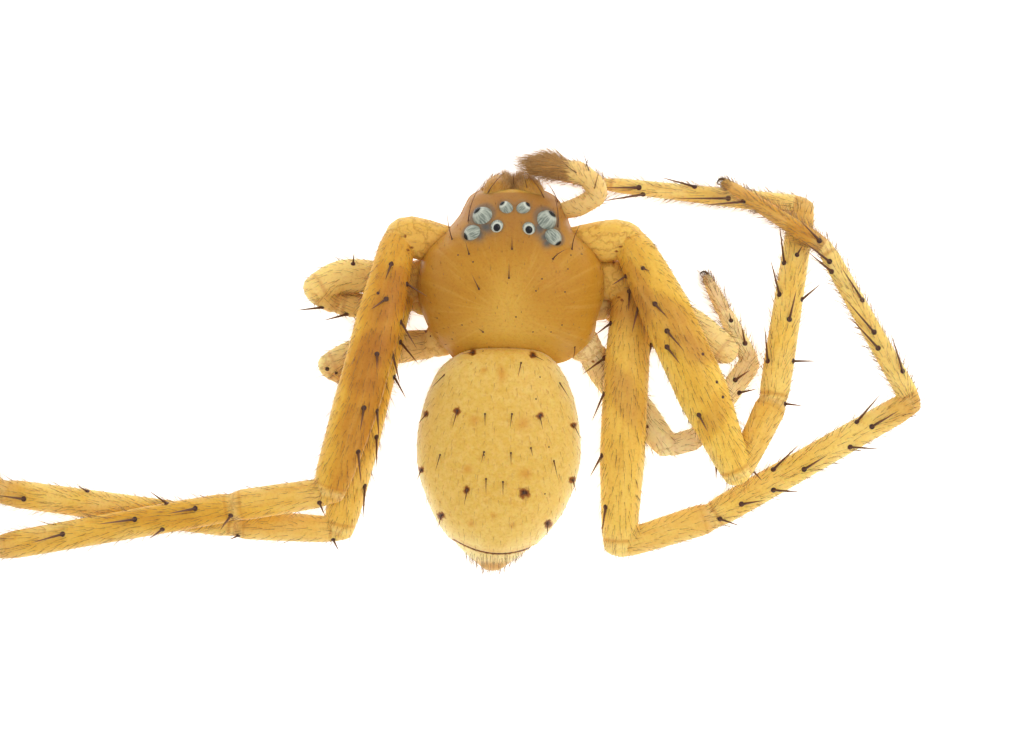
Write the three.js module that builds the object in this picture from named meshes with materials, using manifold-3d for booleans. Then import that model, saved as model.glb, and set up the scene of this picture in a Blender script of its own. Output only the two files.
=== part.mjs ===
// A crab spider lying on the floor, seen best from above: millimetres, +X to its right, +Y ahead, +Z up.
// The origin is the middle of the small flat under its belly, which rests on the floor.
import * as THREE from "three";
import { mergeVertices } from "three/addons/utils/BufferGeometryUtils.js";
import Module from "manifold-3d";

const wasm = await Module();
wasm.setup();

// Driving dimensions
const GAP = 0.03; // clear space between neighbouring pieces
const LEAST_WIDTH = 0.48; // thinnest leg that the solids hold
const LEG_DEPTH = 0.76; // height of a leg's section over its width
const PATELLA_BASE = 0.85; // width of the patella's base over the knee's
const FINE = 0.006; // detail that a cut may leave and that is then smoothed away
const LEG_SIDES = 10;
const LEG_RINGS = 4;
const BODY_SIDES = 24;
const EYE_SIDES = 10;

// Colours
const CARAPACE = "#b98236";
const ABDOMEN = "#d9bb78";
const LEG = "#dcae55";
const COXA = "#e2bd79";
const PALP = "#b5803a";
const EYE = "#cfcdc4";

// Cephalothorax sections: y along the body, x of the middle, half width, top and bottom heights.
const CARAPACE_SECTIONS = [
  [2.2, 0.23, 0.98, 1.65, 1.3],
  [2.5, 0.24, 1.41, 2.2, 1.1],
  [2.88, 0.28, 1.85, 2.8, 1.0],
  [3.3, 0.27, 2.13, 3.05, 0.95],
  [3.75, 0.27, 2.28, 3.15, 0.95],
  [4.17, 0.27, 2.33, 3.18, 0.95],
  [4.55, 0.28, 2.27, 3.15, 0.95],
  [4.95, 0.25, 2.1, 3.08, 0.95],
  [5.25, 0.24, 1.81, 3.0, 0.98],
  [5.55, 0.24, 1.49, 2.88, 1.03],
  [5.85, 0.35, 1.3, 2.73, 1.1],
  [6.1, 0.35, 1.18, 2.58, 1.2],
  [6.33, 0.29, 0.89, 2.38, 1.35],
];
const CARAPACE_ENDS = [
  [0.23, 2.1, 1.5],
  [0.3, 6.46, 1.9],
];
const CARAPACE_MARGIN = 1.55;
const CARAPACE_ROUND = 2.3;

// Abdomen sections, in the same order of values.
const ABDOMEN_SECTIONS = [
  [2.5, 0.06, 0.81, 2.45, 1.65],
  [2.3, 0.04, 1.24, 2.65, 1.2],
  [2.0, 0.0, 1.53, 2.8, 0.7],
  [1.62, 0.0, 1.73, 2.9, 0.3],
  [1.12, -0.01, 1.9, 2.95, 0.05],
  [0.5, -0.03, 2.02, 2.95, -0.1],
  [-0.1, -0.03, 2.05, 2.93, -0.12],
  [-0.62, -0.04, 1.98, 2.85, -0.1],
  [-1.12, -0.04, 1.82, 2.73, -0.03],
  [-1.6, -0.06, 1.61, 2.55, 0.1],
  [-2.02, -0.09, 1.33, 2.3, 0.3],
  [-2.38, -0.08, 1.0, 2.0, 0.5],
  [-2.65, -0.15, 0.7, 1.65, 0.7],
  [-2.88, -0.15, 0.35, 1.35, 0.85],
];
const ABDOMEN_ENDS = [
  [0.05, 2.6, 2.1],
  [-0.18, -3.07, 1.1],
];
const ABDOMEN_ROUND = 2.1;
const PEDICEL = { y: 2.35, z: 1.42, length: 1.2, radius: 0.28 };

// Leg joints from the coxa's root to the tip of the foot. The femur has two points inside its length.
// Widths run: coxa, femur base, femur middle, knee, patella end, tibia end, metatarsus end, foot tip.
const LEGS = {
  right_leg_1: {
    points: {
      root: [1.8, 5.1, 1.5],
      trochanter: [3.2, 5.3, 1.6],
      femur_a: [3.82, 4.12, 2.15],
      femur_b: [4.91, 1.75, 2.4],
      knee: [5.94, -0.62, 1.85],
      patella: [6.83, 1.2, 1.25],
      tibia: [7.6, 6.12, 0.45],
      metatarsus: [2.61, 6.67, 0.28],
      tip: [0.8, 7.05, 0.25],
    },
    widths: [1.05, 0.98, 1.24, 0.98, 0.84, 0.64, 0.48, 0.3],
  },
  right_leg_2: {
    points: {
      root: [1.95, 4.38, 1.25],
      trochanter: [3.3, 4.18, 1.25],
      femur_a: [3.25, 3.3, 1.38],
      femur_b: [3.1, 0.75, 1.25],
      knee: [2.98, -2.41, 0.65],
      patella: [5.27, -1.69, 0.6],
      tibia: [10.32, 1.2, 1.0],
      metatarsus: [8.11, 5.1, 1.25],
      tip: [5.6, 6.7, 1.25],
    },
    widths: [1.05, 1.0, 1.14, 0.88, 0.78, 0.68, 0.48, 0.38],
  },
  right_leg_3: {
    points: {
      root: [1.88, 3.63, 1.1],
      trochanter: [2.71, 3.65, 0.8],
      femur_a: [3.51, 3.63, 0.58],
      femur_b: [4.76, 3.15, 0.73],
      knee: [5.74, 2.43, 0.9],
      patella: [4.82, 2.5, 0.35],
      tibia: [3.64, 2.88, 0.28],
      metatarsus: [2.66, 3.46, 0.25],
      tip: [1.56, 3.86, 0.25],
    },
    widths: [0.82, 0.75, 0.82, 0.75, 0.62, 0.5, 0.4, 0.3],
  },
  right_leg_4: {
    points: {
      root: [1.65, 3.0, 1.15],
      trochanter: [2.25, 2.5, 0.95],
      femur_a: [2.66, 1.9, 0.6],
      femur_b: [3.46, 1.0, 0.5],
      knee: [4.19, 0.07, 0.7],
      patella: [4.94, 0.29, 0.6],
      tibia: [6.35, 2.2, 0.33],
      metatarsus: [5.62, 3.48, 0.28],
      tip: [5.17, 4.36, 0.25],
    },
    widths: [0.9, 0.76, 0.82, 0.72, 0.6, 0.55, 0.42, 0.3],
  },
  left_leg_1: {
    points: {
      root: [-1.25, 5.1, 1.5],
      trochanter: [-2.5, 5.4, 1.6],
      femur_a: [-2.89, 3.74, 2.3],
      femur_b: [-3.49, 1.45, 2.45],
      knee: [-4.27, -1.04, 2.05],
      patella: [-6.64, -1.4, 1.8],
      tibia: [-12.54, -2.44, 0.6],
      metatarsus: [-17.02, -1.26, 0.3],
      tip: [-19.34, 0.54, 0.25],
    },
    widths: [1.05, 0.92, 1.16, 0.95, 0.78, 0.68, 0.48, 0.3],
  },
  left_leg_2: {
    points: {
      root: [-1.35, 4.38, 1.25],
      trochanter: [-2.45, 4.15, 1.25],
      femur_a: [-2.78, 3.3, 1.35],
      femur_b: [-3.43, 0.75, 1.1],
      knee: [-4.04, -2.01, 0.65],
      patella: [-6.6, -1.86, 0.55],
      tibia: [-12.5, -1.06, 0.4],
      metatarsus: [-15.94, 1.5, 0.3],
      tip: [-17.45, 4.01, 0.25],
    },
    widths: [1.05, 0.95, 1.08, 0.85, 0.75, 0.68, 0.48, 0.3],
  },
  left_leg_3: {
    points: {
      root: [-1.3, 3.68, 1.1],
      trochanter: [-2.11, 3.8, 0.8],
      femur_a: [-2.76, 4.23, 0.6],
      femur_b: [-3.89, 4.36, 0.6],
      knee: [-4.68, 4.03, 0.8],
      patella: [-4.07, 3.58, 0.4],
      tibia: [-2.81, 3.33, 0.28],
      metatarsus: [-1.91, 3.81, 0.25],
      tip: [-0.86, 4.16, 0.25],
    },
    widths: [0.82, 0.78, 0.8, 0.75, 0.62, 0.5, 0.4, 0.3],
  },
  left_leg_4: {
    points: {
      root: [-1.1, 3.05, 1.15],
      trochanter: [-1.65, 2.65, 0.95],
      femur_a: [-2.31, 2.6, 0.6],
      femur_b: [-3.56, 2.4, 0.55],
      knee: [-4.35, 2.08, 0.65],
      patella: [-3.87, 1.9, 0.38],
      tibia: [-2.91, 1.55, 0.28],
      metatarsus: [-3.34, 0.39, 0.25],
      tip: [-3.72, -0.76, 0.25],
    },
    widths: [0.9, 0.76, 0.82, 0.75, 0.6, 0.5, 0.42, 0.3],
  },
};
// The third and fourth legs' metatarsus and tarsus are short and held in line: one foot.
const SHORT_LEGS = /_[34]$/;

// Palps: the near part rises out from the mouth, the far part turns forward and in.
const PALPS = {
  right_palp: {
    near: [
      [1.45, 5.95, 1.6],
      [2.05, 6.15, 1.75],
      [2.45, 6.35, 1.9],
    ],
    far: [
      [2.5, 6.3, 1.9],
      [2.3, 6.75, 2.0],
      [1.9, 6.97, 2.0],
      [1.25, 7.08, 1.9],
      [0.62, 7.1, 1.8],
    ],
    width: 0.54,
  },
  left_palp: {
    near: [
      [-0.65, 5.65, 1.2],
      [-0.68, 5.85, 0.85],
      [-0.6, 6.05, 0.5],
    ],
    far: [
      [-0.62, 6.0, 0.52],
      [-0.5, 6.25, 0.38],
      [-0.2, 6.55, 0.32],
      [0.12, 6.8, 0.3],
    ],
    width: 0.42,
  },
};
const PALP_DEPTH = 0.9;

// Chelicerae: the middle of the base and of the tip, and the half widths there.
const CHELICERAE = {
  right_chelicera: { base: [0.71, 6.42, 1.95], tip: [0.56, 6.68, 0.78], half: 0.39 },
  left_chelicera: { base: [-0.11, 6.42, 1.95], tip: [0.04, 6.68, 0.78], half: 0.39 },
};

// Eyes: centre and radius. The front middle pair looks ahead, the side pairs stand on swellings.
const EYES = {
  eye_front_middle_left: [0.12, 6.06, 2.5, 0.16],
  eye_front_middle_right: [0.58, 6.03, 2.5, 0.16],
  eye_front_side_left: [-0.42, 5.82, 2.48, 0.22],
  eye_front_side_right: [1.12, 5.71, 2.5, 0.24],
  eye_rear_middle_left: [-0.07, 5.56, 2.78, 0.17],
  eye_rear_middle_right: [0.72, 5.5, 2.78, 0.17],
  eye_rear_side_left: [-0.7, 5.36, 2.7, 0.18],
  eye_rear_side_right: [1.3, 5.29, 2.7, 0.2],
};

// Spinnerets: a short cluster under the rear of the abdomen.
const SPINNERETS = { root: [-0.1, -2.2, 0.5], tip: [-0.2, -2.78, 0.42], half: 0.34, tipHalf: 0.16 };

const UP = new THREE.Vector3(0, 0, 1);
const vec = (p) => new THREE.Vector3(...p);

// Turns a three.js geometry into a solid, with its faces out.
function solidOf(geometry) {
  const bare = geometry.clone();
  bare.deleteAttribute("normal");
  bare.deleteAttribute("uv");
  const merged = mergeVertices(bare, 1e-4);
  const make = (triVerts) =>
    new wasm.Manifold(
      new wasm.Mesh({
        numProp: 3,
        vertProperties: new Float32Array(merged.attributes.position.array),
        triVerts,
      }),
    );
  const faces = new Uint32Array(merged.index.array);
  const solid = make(faces);
  if (solid.volume() > 0) {
    return solid;
  }
  return make(faces.reverse());
}

// Keeps the largest body of a cut solid.
function largest(solid) {
  const bodies = solid.simplify(FINE).decompose();
  bodies.sort((a, b) => b.volume() - a.volume());
  return bodies[0];
}

// A closed skin through rings. Each ring gives its middle, its side and up directions,
// half width, heights above and below, and how square its corners are.
function skin(first, rings, last, sides) {
  const geometry = new THREE.SphereGeometry(1, sides, rings.length + 1);
  const place = geometry.attributes.position;
  const row = sides + 1;
  for (let i = 0; i < place.count; i += 1) {
    const ring = Math.floor(i / row);
    const turn = ((i % row) / sides) * Math.PI * 2;
    if (ring === 0 || ring > rings.length) {
      const end = ring === 0 ? first : last;
      place.setXYZ(i, end.x, end.y, end.z);
      continue;
    }
    const { middle, side, up, half, above, below, round } = rings[ring - 1];
    const c = Math.cos(turn);
    const s = Math.sin(turn);
    const power = 2 / round;
    const across = Math.sign(c) * Math.abs(c) ** power * half;
    const rise = Math.sign(s) * Math.abs(s) ** power * (s > 0 ? above : below);
    const point = middle.clone().addScaledVector(side, across).addScaledVector(up, rise);
    place.setXYZ(i, point.x, point.y, point.z);
  }
  return solidOf(geometry);
}

// The body's sections stand upright across its length; grow makes the same shape a little larger.
function body(sections, ends, margin, round, grow) {
  const rings = sections.map(([y, x, half, top, bottom]) => {
    const level = margin ?? (top + bottom) / 2;
    return {
      middle: new THREE.Vector3(x, y, level),
      side: new THREE.Vector3(1, 0, 0),
      up: UP,
      half: half + grow,
      above: top - level + grow,
      below: level - bottom + grow,
      round,
    };
  });
  const [first, last] = ends.map(vec);
  const away = first.clone().sub(last).setZ(0).normalize();
  first.addScaledVector(away, grow);
  last.addScaledVector(away, -grow);
  return skin(first, rings, last, BODY_SIDES);
}

// A tapered tube with rounded ends along a smooth curve. widths are read evenly along it.
function limb(points, widths, depth, reach, ringCount = LEG_RINGS) {
  const curve = new THREE.CatmullRomCurve3(points);
  const rings = [];
  const widthAt = (t) => {
    const place = Math.min(Math.max(t, 0), 1) * (widths.length - 1);
    const step = Math.min(Math.floor(place), widths.length - 2);
    return THREE.MathUtils.lerp(widths[step], widths[step + 1], place - step);
  };
  const frameAt = (t) => {
    const tangent = curve.getTangentAt(t);
    const side = new THREE.Vector3().crossVectors(tangent, UP).normalize();
    return { tangent, side, up: new THREE.Vector3().crossVectors(side, tangent) };
  };
  const ringAt = (t, beyond, scale) => {
    const { tangent, side, up } = frameAt(t);
    const half = (Math.max(widthAt(t), LEAST_WIDTH) / 2) * scale;
    rings.push({
      middle: curve.getPointAt(t).addScaledVector(tangent, beyond),
      side,
      up,
      half,
      above: half * depth,
      below: half * depth,
      round: 2,
    });
  };
  const [before, after] = reach;
  ringAt(0, -before * 0.8, 0.6);
  for (let i = 0; i < ringCount; i += 1) {
    ringAt(i / (ringCount - 1), 0, 1);
  }
  ringAt(1, after * 0.8, 0.6);
  const start = points[0].clone().addScaledVector(frameAt(0).tangent, -before);
  const finish = points.at(-1).clone().addScaledVector(frameAt(1).tangent, after);
  return skin(start, rings, finish, LEG_SIDES);
}

// Cuts a limb at a joint, on the plane that halves the bend, and leaves half a gap.
// sense is 1 for the piece that starts at the joint and -1 for the one that ends there.
function cutAtJoint(solid, joint, incoming, outgoing, sense) {
  const normal = incoming.clone().add(outgoing).normalize().multiplyScalar(sense);
  return largest(solid.trimByPlane(normal.toArray(), normal.dot(joint) + GAP / 2));
}

const overFloor = (solid) => largest(solid.trimByPlane([0, 0, 1], 0));

// Cuts away from a solid whatever neighbours reach into its box.
function clearOf(solid, neighbours) {
  const { min, max } = solid.boundingBox();
  const near = neighbours.filter((other) => {
    const box = other.boundingBox();
    return [0, 1, 2].every((k) => box.min[k] < max[k] && box.max[k] > min[k]);
  });
  return near.length ? largest(solid.subtract(wasm.Manifold.union(near))) : solid;
}

// Trunk
const abdomenSkin = (grow) => body(ABDOMEN_SECTIONS, ABDOMEN_ENDS, null, ABDOMEN_ROUND, grow);
const carapaceSkin = (grow) =>
  body(CARAPACE_SECTIONS, CARAPACE_ENDS, CARAPACE_MARGIN, CARAPACE_ROUND, grow);
const pedicel = solidOf(
  new THREE.CylinderGeometry(PEDICEL.radius, PEDICEL.radius, PEDICEL.length, EYE_SIDES).translate(
    CARAPACE_ENDS[0][0],
    PEDICEL.y,
    PEDICEL.z,
  ),
);
const abdomenClear = abdomenSkin(GAP);
const eyeBall = ([x, y, z, radius], grow) =>
  solidOf(
    new THREE.SphereGeometry(radius + grow, EYE_SIDES, EYE_SIDES * 0.6).translate(x, y, z),
  );
let cephalothorax = carapaceSkin(0).add(pedicel).subtract(abdomenClear);
for (const eye of Object.values(EYES)) {
  cephalothorax = cephalothorax.subtract(eyeBall(eye, GAP / 3));
}
cephalothorax = largest(cephalothorax);
const carapaceClear = carapaceSkin(GAP);

// Solids by name, each with its own origin and colour, grouped by limb.
const groups = { trunk: [], eyes: [], mouthparts: [] };
const keep = (group, name, solid, origin, colour, roughness = 0.5) => {
  groups[group] = groups[group] ?? [];
  groups[group].push({ name, solid, origin, colour, roughness });
};
keep("trunk", "cephalothorax", cephalothorax, new THREE.Vector3(0.27, 4.2, 0), CARAPACE);
keep("trunk", "abdomen", overFloor(abdomenSkin(0)), new THREE.Vector3(0, 0, 0), ABDOMEN);
const spinnerets = limb(
  [vec(SPINNERETS.root), vec(SPINNERETS.tip)],
  [SPINNERETS.half * 2, SPINNERETS.tipHalf * 2],
  0.8,
  [0.1, 0.08],
  3,
);
keep(
  "trunk",
  "spinnerets",
  largest(spinnerets.subtract(abdomenClear)),
  vec(SPINNERETS.root),
  ABDOMEN,
);

for (const [name, eye] of Object.entries(EYES)) {
  keep("eyes", name, eyeBall(eye, 0), vec(eye.slice(0, 3)), EYE, 0.15);
}

// Mouthparts
for (const [name, { base, tip, half }] of Object.entries(CHELICERAE)) {
  const [top, bottom] = [vec(base), vec(tip)];
  const ringAt = (t, scale) => ({
    middle: top.clone().lerp(bottom, t),
    side: new THREE.Vector3(1, 0, 0),
    up: new THREE.Vector3(0, 1, 0),
    half: half * scale,
    above: half * scale,
    below: half * scale,
    round: 2,
  });
  const rings = [ringAt(0.04, 0.7), ringAt(0.2, 0.98), ringAt(0.6, 0.9), ringAt(0.95, 0.5)];
  const solid = skin(top, rings, bottom, LEG_SIDES);
  keep("mouthparts", name, largest(solid.subtract(carapaceClear)), top, CARAPACE);
}
const mouth = groups.mouthparts.map((piece) => piece.solid);
for (const [name, { near, far, width }] of Object.entries(PALPS)) {
  const ends = [width * 0.35, width * 0.3];
  const inner = limb(near.map(vec), [width * 0.8, width], PALP_DEPTH, ends);
  const outer = limb(far.map(vec), [width, width, width * 1.15, width * 0.8], PALP_DEPTH, ends);
  const solid = clearOf(overFloor(inner.add(outer)), [carapaceClear, ...mouth]);
  keep("mouthparts", name, solid, vec(near[0]), PALP);
}

// Legs
const earlier = [];
for (const [leg, { points, widths }] of Object.entries(LEGS)) {
  const at = Object.fromEntries(Object.entries(points).map(([key, p]) => [key, vec(p)]));
  const short = SHORT_LEGS.test(leg);
  const [coxa, base, middle, knee, patella, tibia, metatarsus, tip] = widths;
  const pieces = [
    { part: "coxa", path: [at.root, at.trochanter], widths: [coxa, coxa], colour: COXA },
    {
      part: "femur",
      path: [at.trochanter, at.femur_a, at.femur_b, at.knee],
      widths: [base, middle, middle, knee],
      colour: LEG,
    },
    { part: "patella", path: [at.knee, at.patella], widths: [knee * PATELLA_BASE, patella], colour: LEG },
    { part: "tibia", path: [at.patella, at.tibia], widths: [patella, tibia], colour: LEG },
  ];
  if (short) {
    pieces.push({
      part: "foot",
      path: [at.tibia, at.metatarsus, at.tip],
      widths: [metatarsus, metatarsus, tip],
      colour: LEG,
    });
  } else {
    pieces.push(
      {
        part: "metatarsus",
        path: [at.tibia, at.metatarsus],
        widths: [tibia * 0.9, metatarsus],
        colour: LEG,
      },
      { part: "tarsus", path: [at.metatarsus, at.tip], widths: [metatarsus, tip], colour: LEG },
    );
  }
  const directions = pieces.map(({ path }) => {
    const curve = new THREE.CatmullRomCurve3(path);
    return { start: curve.getTangentAt(0), finish: curve.getTangentAt(1) };
  });
  pieces.forEach(({ part, path, widths: along, colour }, i) => {
    const reach = [along[0] * 0.5, i === pieces.length - 1 ? 0.06 : along.at(-1) * 0.5];
    const rings = part === "femur" ? LEG_RINGS + 2 : LEG_RINGS - 1;
    let solid = overFloor(limb(path, along, LEG_DEPTH, reach, rings));
    if (i > 0) {
      solid = cutAtJoint(solid, path[0], directions[i - 1].finish, directions[i].start, 1);
    }
    if (i < pieces.length - 1) {
      const end = path.at(-1);
      solid = cutAtJoint(solid, end, directions[i].finish, directions[i + 1].start, -1);
    }
    if (part === "coxa") {
      solid = solid.subtract(carapaceClear).subtract(abdomenClear);
    }
    solid = clearOf(largest(solid), earlier);
    earlier.push(solid);
    keep(leg, `${leg}_${part}`, solid, path[0], colour);
  });
}

// The scene graph: one group for each limb, one mesh for each piece.
const spider = new THREE.Group();
spider.name = "crab_spider";
for (const [groupName, pieces] of Object.entries(groups)) {
  const group = new THREE.Group();
  group.name = groupName;
  for (const { name, solid, origin, colour, roughness } of pieces) {
    const { vertProperties, triVerts } = solid.getMesh();
    const geometry = new THREE.BufferGeometry();
    geometry.setAttribute("position", new THREE.BufferAttribute(vertProperties, 3));
    geometry.setIndex(new THREE.BufferAttribute(triVerts, 1));
    geometry.translate(-origin.x, -origin.y, -origin.z);
    geometry.computeVertexNormals();
    const material = new THREE.MeshStandardMaterial({ color: colour, roughness, metalness: 0 });
    const mesh = new THREE.Mesh(geometry, material);
    mesh.name = name;
    mesh.position.copy(origin);
    group.add(mesh);
  }
  spider.add(group);
}

export default spider;
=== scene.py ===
# A crab spider, preserved and translucent amber, lying on a lit white floor and seen from above.
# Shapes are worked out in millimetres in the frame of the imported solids, then scaled to metres.
import math

import bpy
import numpy as np
from mathutils.bvhtree import BVHTree
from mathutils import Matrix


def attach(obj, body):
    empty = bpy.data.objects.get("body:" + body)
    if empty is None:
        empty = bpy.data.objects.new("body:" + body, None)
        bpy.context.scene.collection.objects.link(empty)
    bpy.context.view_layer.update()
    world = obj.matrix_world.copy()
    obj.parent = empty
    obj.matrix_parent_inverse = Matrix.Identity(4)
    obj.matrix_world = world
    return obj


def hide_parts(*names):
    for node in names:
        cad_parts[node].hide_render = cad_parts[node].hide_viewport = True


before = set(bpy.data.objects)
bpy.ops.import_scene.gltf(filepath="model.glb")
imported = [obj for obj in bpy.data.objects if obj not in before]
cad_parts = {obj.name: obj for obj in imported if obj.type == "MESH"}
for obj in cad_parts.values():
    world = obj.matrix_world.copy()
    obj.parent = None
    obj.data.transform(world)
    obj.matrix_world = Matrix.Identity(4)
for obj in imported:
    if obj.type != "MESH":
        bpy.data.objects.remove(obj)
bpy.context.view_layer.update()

MM = 0.001
SEED = 7
rng = np.random.default_rng(SEED)

# Camera: straight down on this spot, from far off, with the photograph's width in view.
PHOTO_WIDTH, PHOTO_HEIGHT = 1024, 748
VIEW_CENTRE = (0.3, 1.9)
FOCUS_HEIGHT = 1.5
FRAME_WIDTH = 25.6
LENS, SENSOR = 400.0, 36.0
PIXEL = FRAME_WIDTH / PHOTO_WIDTH
DISTANCE = FRAME_WIDTH * LENS / SENSOR

# Leg joints in mm: coxa root, trochanter, two points in the femur, knee, patella end, tibia end,
# metatarsus end, tip. Widths in mm: coxa, femur base, middle, knee, patella end, tibia end,
# metatarsus end, tip.
LEGS = {
    "right_leg_1": (
        [(1.8, 5.1, 1.5), (3.2, 5.3, 1.6), (3.82, 4.12, 2.15), (4.91, 1.75, 2.4), (5.94, -0.62, 1.85),
         (6.83, 1.2, 1.25), (7.6, 6.12, 0.45), (2.61, 6.67, 0.28), (0.8, 7.05, 0.25)],
        [1.05, 0.98, 1.3, 0.8, 0.8, 0.64, 0.36, 0.26],
    ),
    "right_leg_2": (
        [(1.95, 4.38, 1.25), (3.3, 4.18, 1.25), (3.25, 3.3, 1.38), (3.1, 0.75, 1.25), (2.98, -2.41, 0.65),
         (5.27, -1.69, 0.6), (10.32, 1.2, 1.0), (8.11, 5.1, 1.25), (5.6, 6.7, 1.25)],
        [1.05, 1.0, 1.14, 0.86, 0.78, 0.66, 0.46, 0.34],
    ),
    "right_leg_3": (
        [(1.88, 3.63, 1.1), (2.71, 3.65, 0.8), (3.51, 3.63, 0.58), (4.76, 3.15, 0.73), (5.74, 2.43, 0.9),
         (4.82, 2.5, 0.35), (3.64, 2.88, 0.28), (2.66, 3.46, 0.22), (1.56, 3.86, 0.18)],
        [0.82, 0.75, 0.84, 0.7, 0.58, 0.46, 0.34, 0.24],
    ),
    "right_leg_4": (
        [(1.65, 3.0, 1.15), (2.25, 2.5, 0.95), (2.66, 1.9, 0.6), (3.46, 1.0, 0.5), (4.19, 0.07, 0.7),
         (4.94, 0.29, 0.6), (6.3, 2.2, 0.36), (5.62, 3.48, 0.26), (5.17, 4.36, 0.22)],
        [0.9, 0.76, 0.82, 0.66, 0.56, 0.56, 0.4, 0.28],
    ),
    "left_leg_1": (
        [(-1.25, 5.1, 1.5), (-2.5, 5.4, 1.6), (-2.89, 3.74, 2.3), (-3.49, 1.45, 2.45), (-4.27, -1.04, 2.05),
         (-6.64, -1.4, 1.8), (-12.54, -2.44, 0.6), (-17.02, -1.26, 0.3), (-19.34, 0.54, 0.22)],
        [1.05, 0.92, 1.16, 0.9, 0.78, 0.68, 0.36, 0.26],
    ),
    "left_leg_2": (
        [(-1.35, 4.38, 1.25), (-2.45, 4.15, 1.25), (-2.78, 3.3, 1.35), (-3.43, 0.75, 1.1), (-4.04, -2.01, 0.65),
         (-6.6, -1.86, 0.55), (-12.5, -1.06, 0.4), (-15.94, 1.5, 0.28), (-17.45, 4.01, 0.22)],
        [1.05, 0.95, 1.08, 0.82, 0.75, 0.68, 0.36, 0.26],
    ),
    "left_leg_3": (
        [(-1.3, 3.68, 1.1), (-2.11, 3.8, 0.8), (-2.76, 4.23, 0.6), (-3.89, 4.36, 0.6), (-4.68, 4.0, 0.8),
         (-4.1, 3.73, 0.42), (-2.81, 3.46, 0.28), (-1.91, 3.81, 0.22), (-0.86, 4.16, 0.18)],
        [0.82, 0.78, 0.84, 0.76, 0.68, 0.56, 0.34, 0.24],
    ),
    "left_leg_4": (
        [(-1.1, 3.05, 1.15), (-1.65, 2.65, 0.95), (-2.31, 2.6, 0.6), (-3.56, 2.4, 0.55), (-4.35, 2.08, 0.65),
         (-3.87, 1.9, 0.38), (-2.91, 1.55, 0.28), (-3.34, 0.39, 0.22), (-3.72, -0.76, 0.18)],
        [0.9, 0.76, 0.82, 0.66, 0.6, 0.48, 0.36, 0.24],
    ),
}
LEG_DEPTH = 0.76  # height of a leg's section over its width
COXA, FEMUR, PATELLA, TIBIA, METATARSUS, TARSUS = range(6)

# Body sections, as y, x of the middle, half width, top and bottom; each list runs from pole to pole.
CARAPACE = [
    (2.1, 0.23, 0.0, 1.55, 1.55),
    (2.2, 0.28, 1.2, 1.75, 1.3),
    (2.5, 0.34, 1.65, 2.2, 1.1),
    (2.88, 0.33, 1.98, 2.8, 1.0),
    (3.3, 0.27, 2.13, 3.05, 0.95),
    (3.75, 0.27, 2.28, 3.15, 0.95),
    (4.17, 0.27, 2.33, 3.18, 0.95),
    (4.55, 0.28, 2.27, 3.15, 0.95),
    (4.95, 0.25, 2.1, 3.08, 0.95),
    (5.25, 0.24, 1.81, 3.0, 0.98),
    (5.55, 0.26, 1.5, 2.9, 1.03),
    (5.85, 0.33, 1.32, 2.76, 1.1),
    (6.1, 0.34, 1.2, 2.58, 1.2),
    (6.34, 0.31, 1.02, 2.36, 1.4),
    (6.48, 0.3, 0.7, 2.18, 1.6),
    (6.53, 0.3, 0.0, 1.95, 1.95),
]
CARAPACE_MARGIN = 1.55
CARAPACE_ROUND = 2.3
ABDOMEN = [
    (2.6, 0.05, 0.0, 2.1, 2.1),
    (2.5, 0.06, 0.81, 2.45, 1.65),
    (2.3, 0.04, 1.24, 2.65, 1.2),
    (2.0, 0.0, 1.53, 2.8, 0.7),
    (1.62, 0.0, 1.73, 2.9, 0.3),
    (1.12, -0.01, 1.9, 2.95, 0.05),
    (0.5, -0.03, 2.02, 2.95, -0.1),
    (-0.1, -0.03, 2.05, 2.93, -0.12),
    (-0.62, -0.04, 1.98, 2.85, -0.1),
    (-1.12, -0.04, 1.82, 2.73, -0.03),
    (-1.6, -0.06, 1.61, 2.55, 0.1),
    (-2.02, -0.09, 1.33, 2.3, 0.3),
    (-2.38, -0.1, 1.0, 2.0, 0.5),
    (-2.65, -0.15, 0.7, 1.68, 0.7),
    (-2.84, -0.17, 0.45, 1.42, 0.8),
    (-2.97, -0.18, 0.29, 1.28, 0.87),
    (-3.04, -0.18, 0.16, 1.18, 0.95),
    (-3.06, -0.18, 0.0, 1.08, 1.08),
]
ABDOMEN_ROUND = 2.1

# Eyes: node, centre in mm, half sizes along and across its lens' way and upwards, the compass way of
# the lens as x and y, then the lens' rise over level and its half angle, in degrees.
EYES = {
    "eye_front_middle_left": ((0.16, 6.02, 2.53), (0.2, 0.165, 0.17), (-0.62, 0.78), 24, 25),
    "eye_front_middle_right": ((0.575, 6.01, 2.53), (0.2, 0.165, 0.17), (0.74, 0.67), 24, 25),
    "eye_front_side_left": ((-0.4, 5.78, 2.49), (0.3, 0.27, 0.25), (-0.66, 0.75), 21, 23),
    "eye_front_side_right": ((1.12, 5.69, 2.5), (0.31, 0.27, 0.25), (0.68, 0.73), 21, 23),
    "eye_rear_middle_left": ((-0.07, 5.56, 2.77), (0.18, 0.16, 0.15), (-0.1, -0.3), 83, 31),
    "eye_rear_middle_right": ((0.715, 5.505, 2.77), (0.18, 0.165, 0.15), (0.1, -0.3), 83, 31),
    "eye_rear_side_left": ((-0.67, 5.39, 2.66), (0.23, 0.22, 0.2), (-0.93, -0.36), 20, 26),
    "eye_rear_side_right": ((1.31, 5.29, 2.66), (0.24, 0.22, 0.21), (0.66, -0.75), 20, 26),
}


def unit(v):
    """Vectors scaled to length one."""
    v = np.asarray(v, float)
    return v / np.maximum(np.linalg.norm(v, axis=-1, keepdims=True), 1e-12)


def bell(distance, radius):
    """A smooth bump that is 1 at zero and fades out past the radius."""
    return np.exp(-(distance / radius) ** 2)


def band(value, low, high):
    """Rises smoothly from 0 at low to 1 at high."""
    t = np.clip((value - low) / (high - low), 0, 1)
    return t * t * (3 - 2 * t)


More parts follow.
